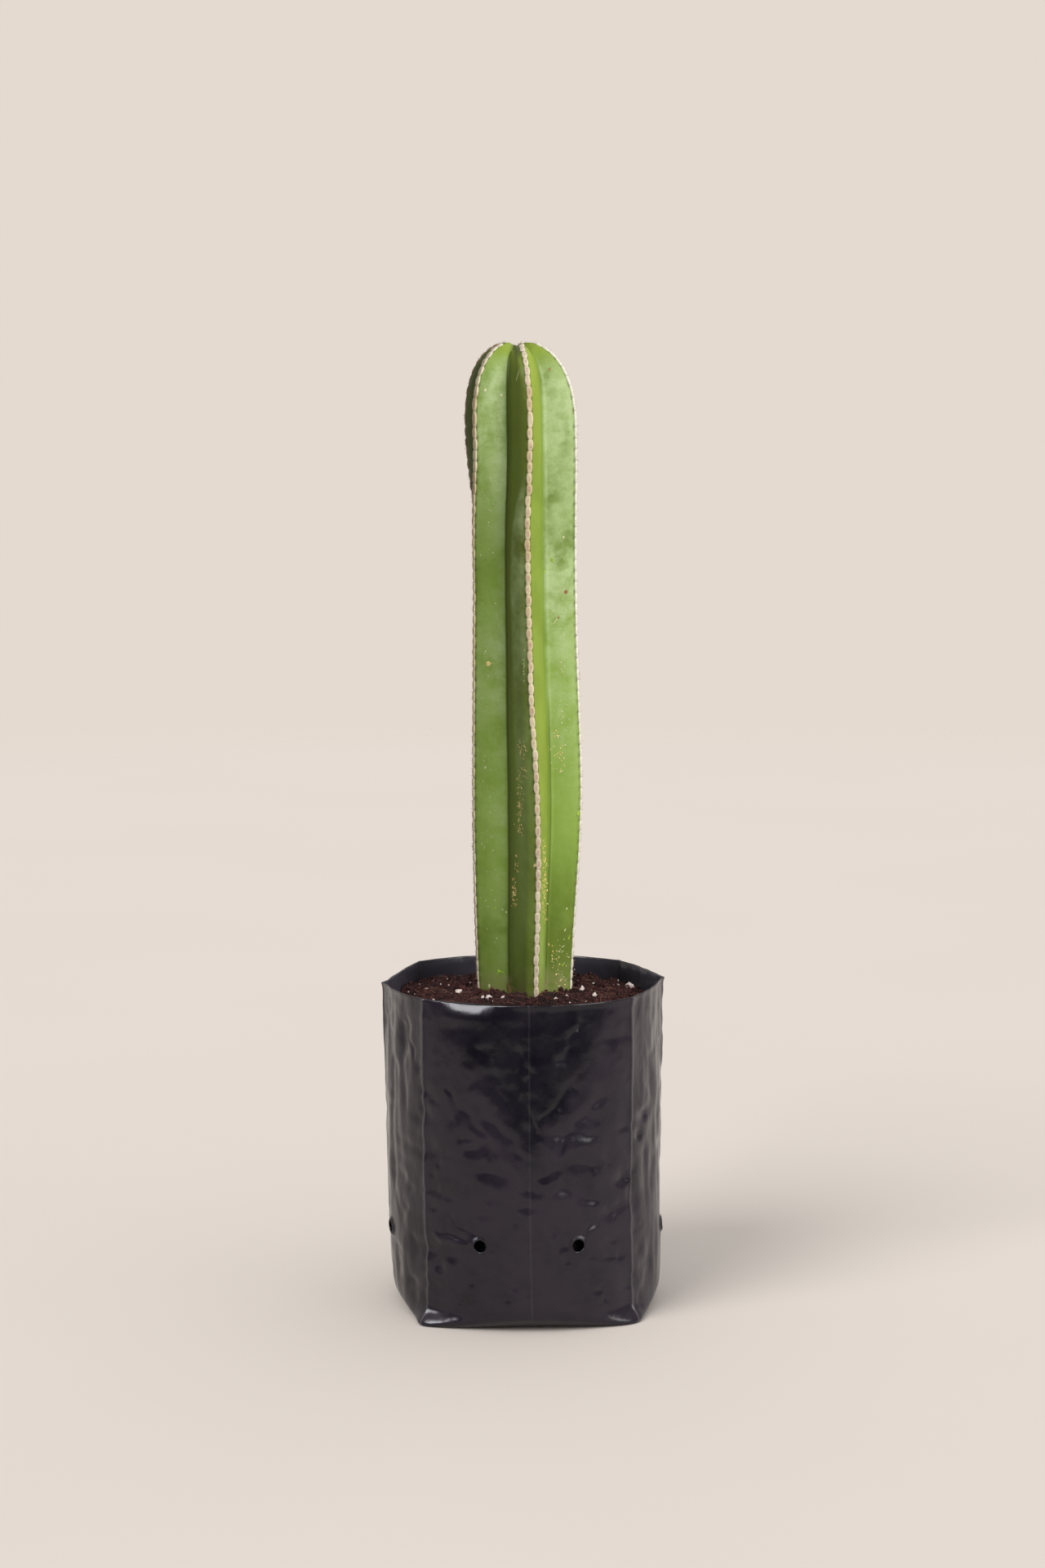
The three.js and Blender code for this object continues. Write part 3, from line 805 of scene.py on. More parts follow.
# %% The bag's section
def square_round(angle, power):
    across = abs(math.sin(math.radians(angle)))
    along = abs(math.cos(math.radians(angle)))
    return (across ** power + along ** power) ** (-1 / power)


@lru_cache
def bag_half_width(power):
    """Half the width of a section whose outline is as long as the bag's girth."""
    corners = [heading(a) * square_round(a, power) for a in range(361)]
    return BAG_GIRTH / sum((b - a).length for a, b in zip(corners, corners[1:]))


def bag_power(z):
    return ROUND_POWER + SQUARE_POWER * math.exp(-z / SQUARE_FADE)


def arc_between(angle, other):
    """Signed distance round the bag in millimetres."""
    return turn_between(angle, other) * BAG_GIRTH / 360


def round_bag(angle, z):
    """A place on a round bag of the same girth."""
    return heading(angle) * BAG_GIRTH / (2 * math.pi) + UP * z


# %% [markdown]
# Folds and dents are the whole look of a film bag, because glossy black shows little but
# reflections. The dents and creases that the photograph shows plainly are placed through
# its pixels, and the rest come from seeded random draws. Each row of the tables gives the
# pixel or the two ends, then width, height and depth, or width and depth.

# %% Dents of the film
SCOOP_TIP = (0.0, 100.0)
DENT_GAIN = 1.6
BAG_MIDDLE_PIXEL = Vector((647, 1420))
PHOTO_DENTS = [
    (514, 1307, 3.2, 3, 0.5), (520, 1336, 4.6, 2.6, 0.5), (531, 1347, 3.6, 2.4, 0.45),
    (515, 1370, 3.8, 4.6, 0.5), (540, 1412, 9, 3.4, 0.6), (503, 1455, 5, 3, 0.5),
    (551, 1466, 5.4, 3, 0.5), (498, 1478, 3, 2.6, 0.4), (575, 1408, 4, 3, 0.5), (602, 1437, 8, 3, 0.6),
    (729, 1428, 2.8, 4.6, 0.5), (711, 1458, 5.4, 3.6, 0.55), (690, 1447, 2.4, 2.6, 0.35),
    (680, 1430, 4.4, 3.4, 0.45), (528, 1572, 6, 3, 0.5), (733, 1578, 6.5, 3.2, 0.6),
    (741, 1590, 3.4, 2.6, 0.5), (492, 1270, 4, 9, 0.8), (524, 1530, 15, 5.5, 1.2),
    (532, 1606, 9, 4.5, 1), (560, 1594, 7, 2.2, 0.4), (480, 1340, 3.5, 16, 0.7),
    (484, 1430, 3.5, 14, 0.8), (797, 1330, 4, 18, 0.7), (790, 1430, 4, 16, 0.6),
    (795, 1540, 4.5, 14, 0.7), (488, 1545, 4, 10, 0.8), (756, 1270, 8, 3, 0.35),
    (742, 1350, 5, 12, 0.35), (566, 1262, 12, 5, 0.4),
]
PHOTO_CREASES = [
    (553, 1335, 605, 1415, 2.6, 0.55), (600, 1365, 640, 1415, 2.6, 0.5),
    (590, 1290, 618, 1350, 3.2, 0.5), (640, 1290, 652, 1390, 3, 0.45), (712, 1255, 690, 1295, 2.2, 0.6),
    (735, 1340, 688, 1405, 2.8, 0.5), (700, 1330, 668, 1372, 2.6, 0.5),
    (553, 1487, 584, 1514, 1.8, 0.55), (741, 1478, 724, 1502, 2.4, 0.3),
    (724, 1502, 708, 1516, 2.4, 0.3), (538, 1519, 576, 1523, 2.3, -1.2),
    (497, 1254, 506, 1290, 1.8, 0.7), (604, 1560, 640, 1556, 4, 0.25),
    (512, 1618, 548, 1612, 1.8, -0.7), (492, 1395, 545, 1425, 2.8, 0.45),
    (655, 1500, 661, 1580, 4, 0.25),
]


def on_bag(*pixel):
    """Direction and height of a pixel's place; one just past the edge is moved inwards."""
    for inward in range(12):
        point, _ = seen_at(bag_surface, *Vector(pixel).lerp(BAG_MIDDLE_PIXEL, inward * 0.01))
        if point is not None:
            return Vector((angle_of(point), point.z))
    raise ValueError(f"pixel {pixel} isn't on the bag")


def random_dents(seed, count=110):
    """Dents of the sides and the back, more of them high up where the film is slack."""
    dice = random.Random(seed)
    dents = []
    for _ in range(count):
        angle = dice.uniform(50, 310)
        height = BAG_HEIGHT * (1 - dice.random() ** 1.3 * 0.93)
        wide, tall = dice.uniform(2.5, 9), dice.uniform(2.5, 7)
        dents.append((angle, height, wide, tall, dice.uniform(0.25, 0.65)))
    return dents


def small_scales(seed, count=150):
    """Shallow hollows a few millimetres across, all over the lower half of the front."""
    dice = random.Random(seed)
    scales = []
    for _ in range(count):
        angle, height = dice.uniform(-60, 60), dice.uniform(6, 125)
        if height < SCOOP_TIP[1] + abs(angle) * 1.2:
            wide, tall = dice.uniform(2.5, 7.5), dice.uniform(2.2, 4.5)
            scales.append((angle, height, wide, tall, dice.uniform(0.3, 0.75)))
    return scales


def random_creases(seed, count=34):
    """Long soft folds that run down from the rim, on the sides that the photo can't show."""
    dice = random.Random(seed)
    made = []
    for _ in range(count):
        top = Vector((dice.uniform(60, 300), dice.uniform(70, BAG_HEIGHT - 8)))
        fall = Vector((dice.uniform(-14, 14), -dice.uniform(12, 46)))
        made.append((top, top + fall, dice.uniform(2.0, 4.0), dice.uniform(0.3, 0.6)))
    return made


all_dents = [(*on_bag(x, y), wide, tall, deep * DENT_GAIN) for x, y, wide, tall, deep in PHOTO_DENTS]
all_dents += random_dents(5) + small_scales(8)
creases = [(on_bag(x, y), on_bag(*end), wide, deep) for x, y, *end, wide, deep in PHOTO_CREASES]
creases += random_creases(6)


# %% How deep the dents and creases are
NEARBY = 4
DENT_TAIL = 2.6
CREASE_FADE = 4.0
WAVER_SIZE, WAVER_TURN, WAVER_RISE = 9, 4.0, 3.0
dents_near, creases_near = {}, {}


def nearby(found, items, gap, angle):
    """The dents or creases that reach a direction, found once for every two degrees."""
    step = round(angle / 2)
    if step not in found:
        found[step] = [item for item in items if gap(item, angle) < NEARBY]
    return found[step]


def dent_gap(dent, angle):
    return abs(arc_between(angle, dent[0])) - DENT_TAIL * dent[2]


def crease_gap(crease, angle):
    start, end, wide, _ = crease
    away = abs(arc_between(angle, (start.x + end.x) / 2))
    return away - abs(arc_between(start.x, end.x)) - 10 - 2 * wide


def crease_depth(angle, z):
    """The creases' depth at a place. Each wavers a little instead of running straight."""
    depth = 0.0
    spot = round_bag(angle, z) / WAVER_SIZE
    angle += WAVER_TURN * noise.noise(spot)
    z += WAVER_RISE * noise.noise(spot + Vector((4, 0, 0)))
    for start, end, wide, deep in nearby(creases_near, creases, crease_gap, angle):
        across = Vector((arc_between(angle, start.x), z - start.y))
        along = Vector((arc_between(end.x, start.x), end.y - start.y))
        share = across.dot(along) / along.length_squared
        if -0.6 < share < 1.6:
            beyond = max(0.0, abs(share - 0.5) - 0.5) * along.length
            aside = (across - along * share).length
            depth += deep * bell(aside, wide) * bell(beyond, CREASE_FADE)
    return depth


def dent_depth(angle, z):
    depth = 0.0
    for direction, height, spread, tall, deep in CAD_DENTS:
        depth += deep * bell(turn_between(angle, direction), spread) * bell(z - height, tall)
    for direction, height, wide, tall, deep in nearby(dents_near, all_dents, dent_gap, angle):
        above = (z - height) / tall
        if abs(above) < DENT_TAIL:
            depth += deep * bell(arc_between(angle, direction), wide) * bell(above, 1.0)
    return depth


# %% [markdown]
# The front panel sags between its two corner folds in a broad V below the rim, and its lip
# rolls over where the film hangs free of the soil. The V is also marked to take less dust,
# a painted dark reflection. Each drain hole was punched from inside, so its edge stands out
# like a small lip, most of all at the sides. A row of fold ridges gives the folds, their
# height and width, and between which heights on the bag they rise.

# %% The film's surface
FOLD_RIDGES = [
    (CORNER_FOLDS, 0.5, 2.5, 0, 10), (CORNER_FOLDS, 0.4, 0.7, 0, 10),
    (PANEL_FOLDS, 0.22, 1.0, 20, 60), (GUSSET_FOLDS, 1.2, 4.0, 40, BAG_HEIGHT),
]
FOLD_LINE = 0.5
SCOOP_SLANT = 1.75
SCOOP_SLOPE = 0.055
RIM_CORNER_START = 110
RIM_PANELS = [(-180, -133, 0.35), (-133, -90, 0.75), (-90, -47, 0.35), (-47, 0, 0.12), (0, 47, 0.12),
              (47, 90, 0.5), (90, 133, 0.65), (133, 180, 0.35)]
ROLL_START = 178
ROLL_DEPTH = 3.4
ROLL_PLACE = -27
ROLL_WIDTH = 24
LIP_AT_FRONT, LIP_AT_SIDE = 0.5, 1.3
LIP_REACH, LIP_SLOPE = 6.2, 2.6
RIM_FLARE, FLARE_REACH = 0.7, 2.2
EAR_WIDTH, EAR_HEIGHT = 7, 15
FOOT_EARS = [(-47, 2.6), (47, 0.8), (133, 1.6), (-133, 1.6)]
RIM_HEIGHTS = [(-180, 0.3), (-133, 0.9), (-90, -0.9), (-47, 0.2), (-20, -0.3), (0, -0.5),
               (47, 0.4), (90, 0.9), (133, 0.6), (180, 0.3)]


def fold_ridge(angle, z):
    return sum(tall * math.exp(-abs(arc_between(angle, fold)) / wide) * smoothstep(z, low, high)
               for folds, tall, wide, low, high in FOLD_RIDGES for fold in folds)


def scoop_place(angle, z):
    """Distance aside of the V's tip, and height above the V's lines."""
    aside = abs(arc_between(angle, SCOOP_TIP[0]))
    return aside, z - SCOOP_TIP[1] - aside * SCOOP_SLANT


def scoop(angle, z):
    """How far the slack front panel sinks in above the lines of its broad V."""
    aside, above = scoop_place(angle, z)
    if aside > 60:
        return 0.0
    soft = above / 2 + math.sqrt(above * above / 4 + 9)
    return SCOOP_SLOPE * soft * (1 - smoothstep(aside, 35, 55)) * smoothstep(above, -40, 0)


# painted reflection: how strongly the V is kept dark, as film there reflects the dark room
def scoop_dark_reflection(angle, z):
    aside, above = scoop_place(angle, z)
    return 0.66 * smoothstep(above, -24, 16) * (1 - smoothstep(aside, 36, 56))


def fold_highlight(angle):
    """A pale line along a fold of the film: a painted highlight."""
    corner = min(abs(arc_between(angle, fold)) for fold in CORNER_FOLDS)
    panel = min(abs(arc_between(angle, fold)) for fold in PANEL_FOLDS)
    return min(1.0, bell(corner, FOLD_LINE) + 0.2 * bell(panel, FOLD_LINE))


def crumple(angle, z):
    """Soft unevenness all over the film, streaky at the sides."""
    x, y, up = round_bag(angle, z)
    slack = 0.6 + 0.4 * smoothstep(z, 20, 150)
    wide = wander(x / 24, y / 24, up / 30 + 7)
    ridged = 1 - abs(wander(x / 13 + 5, y / 13, up / 17)) * 2
    where = smoothstep(wander(x / 19, y / 19 + 9, up / 19), -0.1, 0.35)
    small = wander(x / 7.5, y / 7.5 + 3, up / 6.5)
    streaks = wander(x / 6, y / 6, up / 42 + 2)
    at_side = smoothstep(abs(math.sin(math.radians(angle))), 0.6, 0.95)
    return (0.5 * wide + 0.25 * ridged + 0.3 * small * where) * slack + 0.5 * streaks * at_side


def drain_lip(angle, z):
    lip = 0.0
    for direction, height in DRAINS:
        away = math.hypot(arc_between(angle, direction), z - height)
        stands = LIP_AT_SIDE if 70 < abs(direction) < 112 else LIP_AT_FRONT
        lip += stands * smoothstep(LIP_REACH - away, 0, LIP_SLOPE)
    return lip


def rim_corners(angle, z):
    """Near the rim the section is nearly a polygon, with a corner at every fold."""
    for left, right, flatness in RIM_PANELS:
        if z >= RIM_CORNER_START and left <= angle <= right:
            half = math.radians(right - left) / 2
            aside = math.radians(angle) - math.radians(left + right) / 2
            flat = BAG_RADIUS * (1 - math.cos(half) / math.cos(aside))
            return (0.8 - flat) * flatness * smoothstep(z, RIM_CORNER_START, BAG_HEIGHT - 5)
    return 0.0


def rim_roll(angle, z):
    """The lip of the slack front panel rolls inwards and catches the lamp."""
    up = min(1.0, max(0.0, (z - ROLL_START) / (BAG_HEIGHT - ROLL_START)))
    return -ROLL_DEPTH * up * up * bell(arc_between(angle, ROLL_PLACE), ROLL_WIDTH)


def film_radius(angle, z):
    under = max(0.0, 1 - z / FOOT_HEIGHT)
    inset = FOOT_ROUND * (1 - math.sqrt(1 - under * under)) + FOOT_TAPER * math.exp(-z / TAPER_FADE)
    moved = fold_ridge(angle, z) - dent_depth(angle, z) * smoothstep(z, 0, 8)
    moved += (crumple(angle, z) - crease_depth(angle, z) - scoop(angle, z)) * smoothstep(z, 1, 14)
    ears = sum(stands * bell(arc_between(angle, corner), EAR_WIDTH) * bell(z, EAR_HEIGHT)
               for corner, stands in FOOT_EARS)
    moved += drain_lip(angle, z) + ears + rim_corners(angle, z)
    power = bag_power(z)
    return bag_half_width(power) * square_round(angle, power) - inset + moved


# %% [markdown]
# The sheet is one grid: its first rows spread from the middle of the foot to its edge, and
# the others climb the wall. Its columns crowd at the folds, where the shape turns sharply.
# The rim is folded over and carried down inside to below the soil, and each drain hole gets
# an edge of its own.

# %% Film mesh sizes
PANEL_COLUMNS = [(-180, 26), (-133, 26), (-90, 52), (-47, 92), (0, 92), (47, 52), (90, 26), (133, 26)]
FOOT_ROWS = 6
WALL_ROWS = 172
ROW_CROWDING = 0.2
COLUMN_CROWDING = 0.6
INSIDE_DEPTHS = [0.0, 0.8, 2.5, 5, 8, 12, 17]
HOLE_EDGE = 0.6
HOLE_SIDE = 40
FILM_MARKS = ("inside", "scoop", "fold", "lip")


def crowded(share, crowding):
    return share - crowding * math.sin(2 * math.pi * share) / (2 * math.pi)


def column_angles():
    angles = []
    for i, (start, count) in enumerate(PANEL_COLUMNS):
        end = PANEL_COLUMNS[i + 1][0] if i + 1 < len(PANEL_COLUMNS) else 180
        angles += [start + (end - start) * crowded(step / count, COLUMN_CROWDING)
                   for step in range(count)]
    return angles + [180]


def film_place(angle, z, inset=0.0):
    radius = film_radius(angle, z) - inset
    lift = through(RIM_HEIGHTS, angle) * smoothstep(z, 150, BAG_HEIGHT)
    rolled = bell(arc_between(angle, ROLL_PLACE), ROLL_WIDTH)
    flare = RIM_FLARE * bell(BAG_HEIGHT - z, FLARE_REACH) * (1 - rolled)
    spot = heading(angle) * (radius + flare + rim_roll(angle, z)) + UP * (z + lift)
    spot.x += through(BAG_LEAN, z)
    return spot


# %% Build the film
def film_sheet():
    angles = column_angles()
    heights = [BAG_HEIGHT * crowded(i / WALL_ROWS, ROW_CROWDING) for i in range(WALL_ROWS + 1)]

    def place(column, row):
        angle = angles[column]
        z = heights[max(0, row - FOOT_ROWS)]
        spot = film_place(angle, z)
        spread = min(1.0, row / FOOT_ROWS)
        spot.x, spot.y = spot.x * spread, spot.y * spread
        return spot, (0.0, scoop_dark_reflection(angle, z), fold_highlight(angle) * spread, min(1.0, drain_lip(angle, z)))

    return mapped_grid(len(angles) - 1, FOOT_ROWS + WALL_ROWS, place, FILM_MARKS)


def line_the_rim(bm):
    """Folds the sheet's top edge over and takes it down inside the bag."""
    inside = bm.verts.layers.float["inside"]
    scoop_layer = bm.verts.layers.float["scoop"]
    edges = [e for e in bm.edges if e.is_boundary and e.verts[0].co.z > BAG_HEIGHT - 8]
    for depth in INSIDE_DEPTHS:
        verts, edges = pull_out(bm, edges)
        for vert in verts:
            vert.co = film_place(angle_of(vert.co), BAG_HEIGHT - depth, FILM_THICKNESS)
            vert[inside], vert[scoop_layer] = 1.0, 0.0


# %% Punch the drain holes
def punch_drain(bm, direction, height):
    """Finer faces round the hole, the middle taken out, its edge drawn to a true circle."""
    spoke = heading(direction)
    side = UP.cross(spoke)
    middle = round_bag(direction, height)
    middle.x += through(BAG_LEAN, height)

    def away(point):
        offset = point - middle
        return math.hypot(offset.dot(side), offset.z)

    def near(reach):
        centres = [(face, face.calc_center_median()) for face in bm.faces]
        return [face for face, centre in centres
                if centre.dot(spoke) > HOLE_SIDE and away(centre) < reach]

    cuts = 1 if abs(direction) < 60 else 2
    edges = {edge for face in near(1.6 * DRAIN_RADIUS) for edge in face.edges}
    bmesh.ops.subdivide_edges(bm, edges=list(edges), cuts=cuts, use_grid_fill=True)
    bmesh.ops.delete(bm, geom=near(DRAIN_RADIUS - 0.2), context="FACES")
    rim = [e for e in bm.edges if e.is_boundary and e.verts[0].co.dot(spoke) > HOLE_SIDE
           and max(away(v.co) for v in e.verts) < DRAIN_RADIUS + 2]
    for vert in {vert for edge in rim for vert in edge.verts}:
        offset = vert.co - middle
        pull = DRAIN_RADIUS / max(0.01, away(vert.co))
        vert.co += (side * offset.dot(side) + UP * offset.z) * (pull - 1)
    inner, _ = pull_out(bm, rim)
    bmesh.ops.translate(bm, vec=spoke * -HOLE_EDGE, verts=inner)


def bag_film():
    bm = film_sheet()
    bmesh.ops.remove_doubles(bm, verts=bm.verts, dist=MERGE_DISTANCE)
    line_the_rim(bm)
    for direction, height in DRAINS:
        punch_drain(bm, direction, height)
    bmesh.ops.recalc_face_normals(bm, faces=bm.faces)
    return bm


# %% [markdown]
# Polyethylene film is black right through, with a soft gloss. Its colour is almost nothing
# and its reflections are everything, so the finish needs a low roughness that wanders a
# little, and a very fine crinkle that the mesh is too coarse for. Three things are painted
# into the colour: the lining inside the rim is painted lighter as a reflection, the V of
# the front panel gets less dust so that it stays dark as a reflection, and each fold
# carries a pale line as a painted highlight.

# %% Film finish
FILM_BLACK = (0.005, 0.0044, 0.0075)
# dust on the film, laid on patchily as painted reflection as well
FILM_DUST_AND_REFLECTION = (0.0165, 0.0122, 0.0196)
# painted reflection: the lighter colour of the lining inside the rim
FILM_INSIDE_REFLECTION = (0.045, 0.042, 0.055)
# painted highlight: the pale line along each fold
FOLD_HIGHLIGHT = (0.13, 0.12, 0.125)


def film_finish():
    film = finish_named("bag_film")
    dust = film.noise(45, 5, 0.65)
    crinkle = film.noise(210, 3, 0.5, film.stretched((1.0, 1.0, 0.7)))
    pores = film.noise(1800, 2, 0.5)
    # dust, with less inside the V: the dark V is a painted reflection
    dust_and_reflection = film.math("SUBTRACT", film.span(dust, 0.25, 0.6, 0.35, 1.0), film.mark("scoop"))
    colour = film.layers(
        FILM_BLACK, (dust_and_reflection, FILM_DUST_AND_REFLECTION), (film.mark("inside"), FILM_INSIDE_REFLECTION), (film.mark("lip"), FILM_BLACK),
        (film.mark("fold", film.span(dust, 0.3, 0.6, 0.15, 0.5)), FOLD_HIGHLIGHT),
    )
    rough = film.math("ADD", film.span(dust, 0.35, 0.7, 0.17, 0.24), film.span(pores, 0.3, 0.7, 0, 0.03))
    rough = film.math("ADD", rough, film.mark("lip", 0.3))
    normal = film.bump(pores, 0.00005, 0.3, film.bump(crinkle, 0.0006, 0.35))
    return film.set(Base_Color=colour, Normal=normal, Roughness=rough, IOR=1.41)


finish_piece("bag_film", bag_film(), film_finish(), ["grow_bag"])

# %% [markdown]
# The potting mix is coir dust, torn coir fibre, bark chips and white perlite. Its top is a
# grid turned into a disc, heaped towards the stem and broken up by noise of three sizes.
# The disc's edge is then drawn down inside the film in a few steps and closed below.

# %% Soil sizes
SOIL_CROWN = 182.5
SOIL_FALL = 6
SOIL_TILT = -0.01
MOUND_INNER = 30
MOUND_OUTER = 76
SINK_PLACE = Vector((-64, 14))
SINK_RADIUS = 13
SINK_DEPTH = 5
LUMPS = [(0.9, 27, 20, 40), (0.8, 21, 95, 160), (0.7, 17, 150, 300), (0.5, 13, 60, 80)]
SOIL_CLEARANCE = 0.75
SOIL_STEPS = [172, 160, 120, 60, 20, 3]
SIDE_RETREAT = 5.0
WET_PLACE = Vector((4, -50))
WET_REACH = 32
DISC_SEGMENTS = 196
CLOD_HEIGHT, CRUMB_HEIGHT, GRIT_HEIGHT, CRUMBLE_DROP = 2.1, 1.6, 0.8, 0.9


def soil_height(x, y):
    """The CAD's heap: a low mound with a few waves and one sunken place."""
    height = SOIL_CROWN + SOIL_TILT * x
    height -= SOIL_FALL * smoothstep(math.hypot(x, y), MOUND_INNER, MOUND_OUTER)
    height -= SINK_DEPTH * bell((Vector((x, y)) - SINK_PLACE).length, SINK_RADIUS)
    for tall, wavelength, direction, phase in LUMPS:
        turn = math.radians(direction)
        along = x * math.cos(turn) + y * math.sin(turn)
        height += tall * math.sin(2 * math.pi * along / wavelength + math.radians(phase))
    return height


def crumbled_height(x, y):
    """The heap broken into crumbs, with dark gaps between them."""
    clods = wander(x / 6.5, y / 6.5, 3.0)
    crumbs = 1 - 2 * abs(wander(x / 2.4, y / 2.4, 9.0))
    grit = wander(x / 1.05, y / 1.05, 14.0)
    broken = CLOD_HEIGHT * clods + CRUMB_HEIGHT * crumbs + GRIT_HEIGHT * grit
    return soil_height(x, y) + broken - CRUMBLE_DROP


def wetness(x, y):
    """Damp and nearly black in front of the stem, dry and brown at the sides and back."""
    return bell((Vector((x, y)) - WET_PLACE).length, WET_REACH) + 0.5 * wander(x / 16, y / 16, 1.0)


# %% Shape the soil
def inner_radius(angle, z, clearance=SOIL_CLEARANCE):
    return film_radius(angle, z) - FILM_THICKNESS - clearance


RIM_TABLE = [inner_radius(a, SOIL_CROWN - SOIL_FALL) for a in range(-180, 181)]


def soil_reach(angle):
    """The mix's radius under the rim in a direction, from one value per degree."""
    place = (angle + 180) % 360
    low = int(place)
    return RIM_TABLE[low] + (RIM_TABLE[low + 1] - RIM_TABLE[low]) * (place - low)


def on_disc(u, v):
    """Turns a square from -1 to 1 into a disc, with faces of nearly equal size."""
    radius = max(abs(u), abs(v))
    if radius == 0:
        return 0.0, 0.0
    if abs(u) >= abs(v):
        return radius, 45 * v / u + (180 if u < 0 else 0)
    return radius, 90 - 45 * u / v + (180 if v < 0 else 0)


def potting_mix():
    def place(column, row):
        share, angle = on_disc(2 * column / DISC_SEGMENTS - 1, 2 * row / DISC_SEGMENTS - 1)
        x, y, _ = heading(angle) * share * soil_reach((angle + 180) % 360 - 180)
        z = crumbled_height(x, y)
        # painted shade: the gaps between the crumbs are darkened
        hollow = smoothstep(soil_height(x, y) - z, -0.9, 1.1)
        return Vector((x, y, z)), (1.0, hollow, wetness(x, y))

    bm = mapped_grid(DISC_SEGMENTS, DISC_SEGMENTS, place, ("daylight", "hollow", "wet"))
    daylight = bm.verts.layers.float["daylight"]
    edges = [edge for edge in bm.edges if edge.is_boundary]
    for z in SOIL_STEPS:
        verts, edges = pull_out(bm, edges)
        clearance = SOIL_CLEARANCE + SIDE_RETREAT * (1 - smoothstep(z, 100, 165))
        for vert in verts:
            angle = angle_of(vert.co)
            vert.co = heading(angle) * (inner_radius(angle, z, clearance) - drain_lip(angle, z)) + UP * z
            vert.co.x += through(BAG_LEAN, z)
            vert[daylight] = 0.0
    bmesh.ops.contextual_create(bm, geom=edges)
    bmesh.ops.recalc_face_normals(bm, faces=bm.faces)
    return bm


# %% [markdown]
# Damp coir is nearly black and dry crumbs are fox brown. The finish mixes those by noise,
# paints shade into the gaps between crumbs and onto the sides of the mix below its top, and
# the same three browns serve the loose crumbs and the chips.

# %% Soil finishes
SOIL_DARK = (0.009, 0.0028, 0.003)
SOIL_BROWN = (0.040, 0.0115, 0.0108)
SOIL_FOX = (0.21, 0.07, 0.056)
# painted shade for the sides of the mix, deep inside the bag
SOIL_SHADE = (0.002, 0.0015, 0.0015)


def soil_finish(name, lightness, marked=False):
    soil = finish_named(name)
    clods = soil.noise(420, 4, 0.65)
    grains = soil.noise(1500, 3, 0.7)
    patches = soil.noise(50, 2, 0.5)
    fox = soil.math("MULTIPLY", soil.span(grains, 0.5, 0.7), soil.span(patches, 0.35, 0.6, 0.35, 1.0))
    colour = soil.layers(
        SOIL_DARK, (soil.span(clods, 0.4 - lightness, 0.66 - lightness), SOIL_BROWN), (fox, SOIL_FOX))
    if marked:
        colour = soil.layers(
            # painted shade in the gaps between crumbs
            colour, (soil.span(soil.mark("hollow"), 0.2, 0.9, 0.0, 0.9), SOIL_DARK),
            # painted shade on the sides below the top, which the drain holes show
            (soil.math("SUBTRACT", 1.0, soil.mark("daylight")), SOIL_SHADE),
            (soil.span(soil.mark("wet"), 0.1, 0.9, 0.0, 0.85), SOIL_DARK))
    return soil.set(Base_Color=colour, Normal=soil.bump(grains, 0.0008, 0.8), Roughness=0.92, IOR=1.35)


finish_piece("potting_mix", potting_mix(), soil_finish("potting_mix", 0.0, True),
             ["potting_soil"], smooth=False)

# %% [markdown]
# Loose crumbs, chips and fibres lie on top. Each kind is one small faceted shape, copied
# with random sizes and turns to places drawn from a seeded run of chance. A ring of crumbs
# is pressed against the foot of the stem.

# %% Loose crumbs
CRUMB_COUNT = 2300
FOOT_CRUMB_COUNT = 190
CHIP_COUNT = 260
CRUMB_SMALLEST, CRUMB_RANGE, CRUMB_POWER = 0.9, 2.6, 2.5


def lump_template(name, detail, roughness, seed):
    """A small stone-like lump, about one millimetre across."""
    bm = bmesh.new()
    bmesh.ops.create_icosphere(bm, subdivisions=detail, radius=0.5)
    for vert in bm.verts:
        bulge = noise.noise(vert.co * 2.6 + Vector((seed, 0, 0)))
        bulge += 0.5 * noise.noise(vert.co * 6 + Vector((0, seed, 0)))
        vert.co *= 1 + roughness * bulge
    return as_mesh(name, bm)


SOIL_FRAMES = [edge_frame(rib, SOIL_CROWN) for rib in range(len(RIBS))]
STEM_OUTLINE = [stem_place(rib, step / 12, SOIL_CROWN, SOIL_FRAMES)
                for rib in range(len(RIBS)) for step in range(12)]


def stem_reach(angle):
    """Distance from the stem's axis to its skin at the soil, in one direction."""
    nearest = min(STEM_OUTLINE, key=lambda spot: abs(turn_between(angle_of(spot), angle)))
    return math.hypot(nearest.x, nearest.y)


def soil_spot(dice, near_stem=False):
    while True:
        angle = dice.uniform(-180, 180)
        inner, outer = stem_reach(angle), soil_reach(angle) - 1.0
        if near_stem:
            radius = inner + dice.uniform(0.2, 2.0)
        else:
            radius = math.sqrt(dice.uniform(0.0, 1.0)) * outer
        if inner < radius < outer:
            return heading(angle) * radius


def tumbled(dice):
    return Euler([dice.uniform(0, 2 * math.pi) for _ in range(3)]).to_matrix().to_4x4()


def lump_matrix(place, turn, *sizes):
    return Matrix.Translation(place) @ turn @ Matrix.Diagonal((*sizes, 1))


def crumb_places(count, seed, near_stem=False, flat=1.0):
    dice = random.Random(seed)
    places = []
    for _ in range(count):
        x, y, _ = soil_spot(dice, near_stem)
        size = CRUMB_SMALLEST + CRUMB_RANGE * dice.random() ** CRUMB_POWER
        z = crumbled_height(x, y) + 0.18 * size
        thick = size * flat * dice.uniform(0.4, 0.8)
        wide = size * dice.uniform(0.55, 0.9)
        places.append(lump_matrix((x, y, z), tumbled(dice), size, wide, thick))
    return places


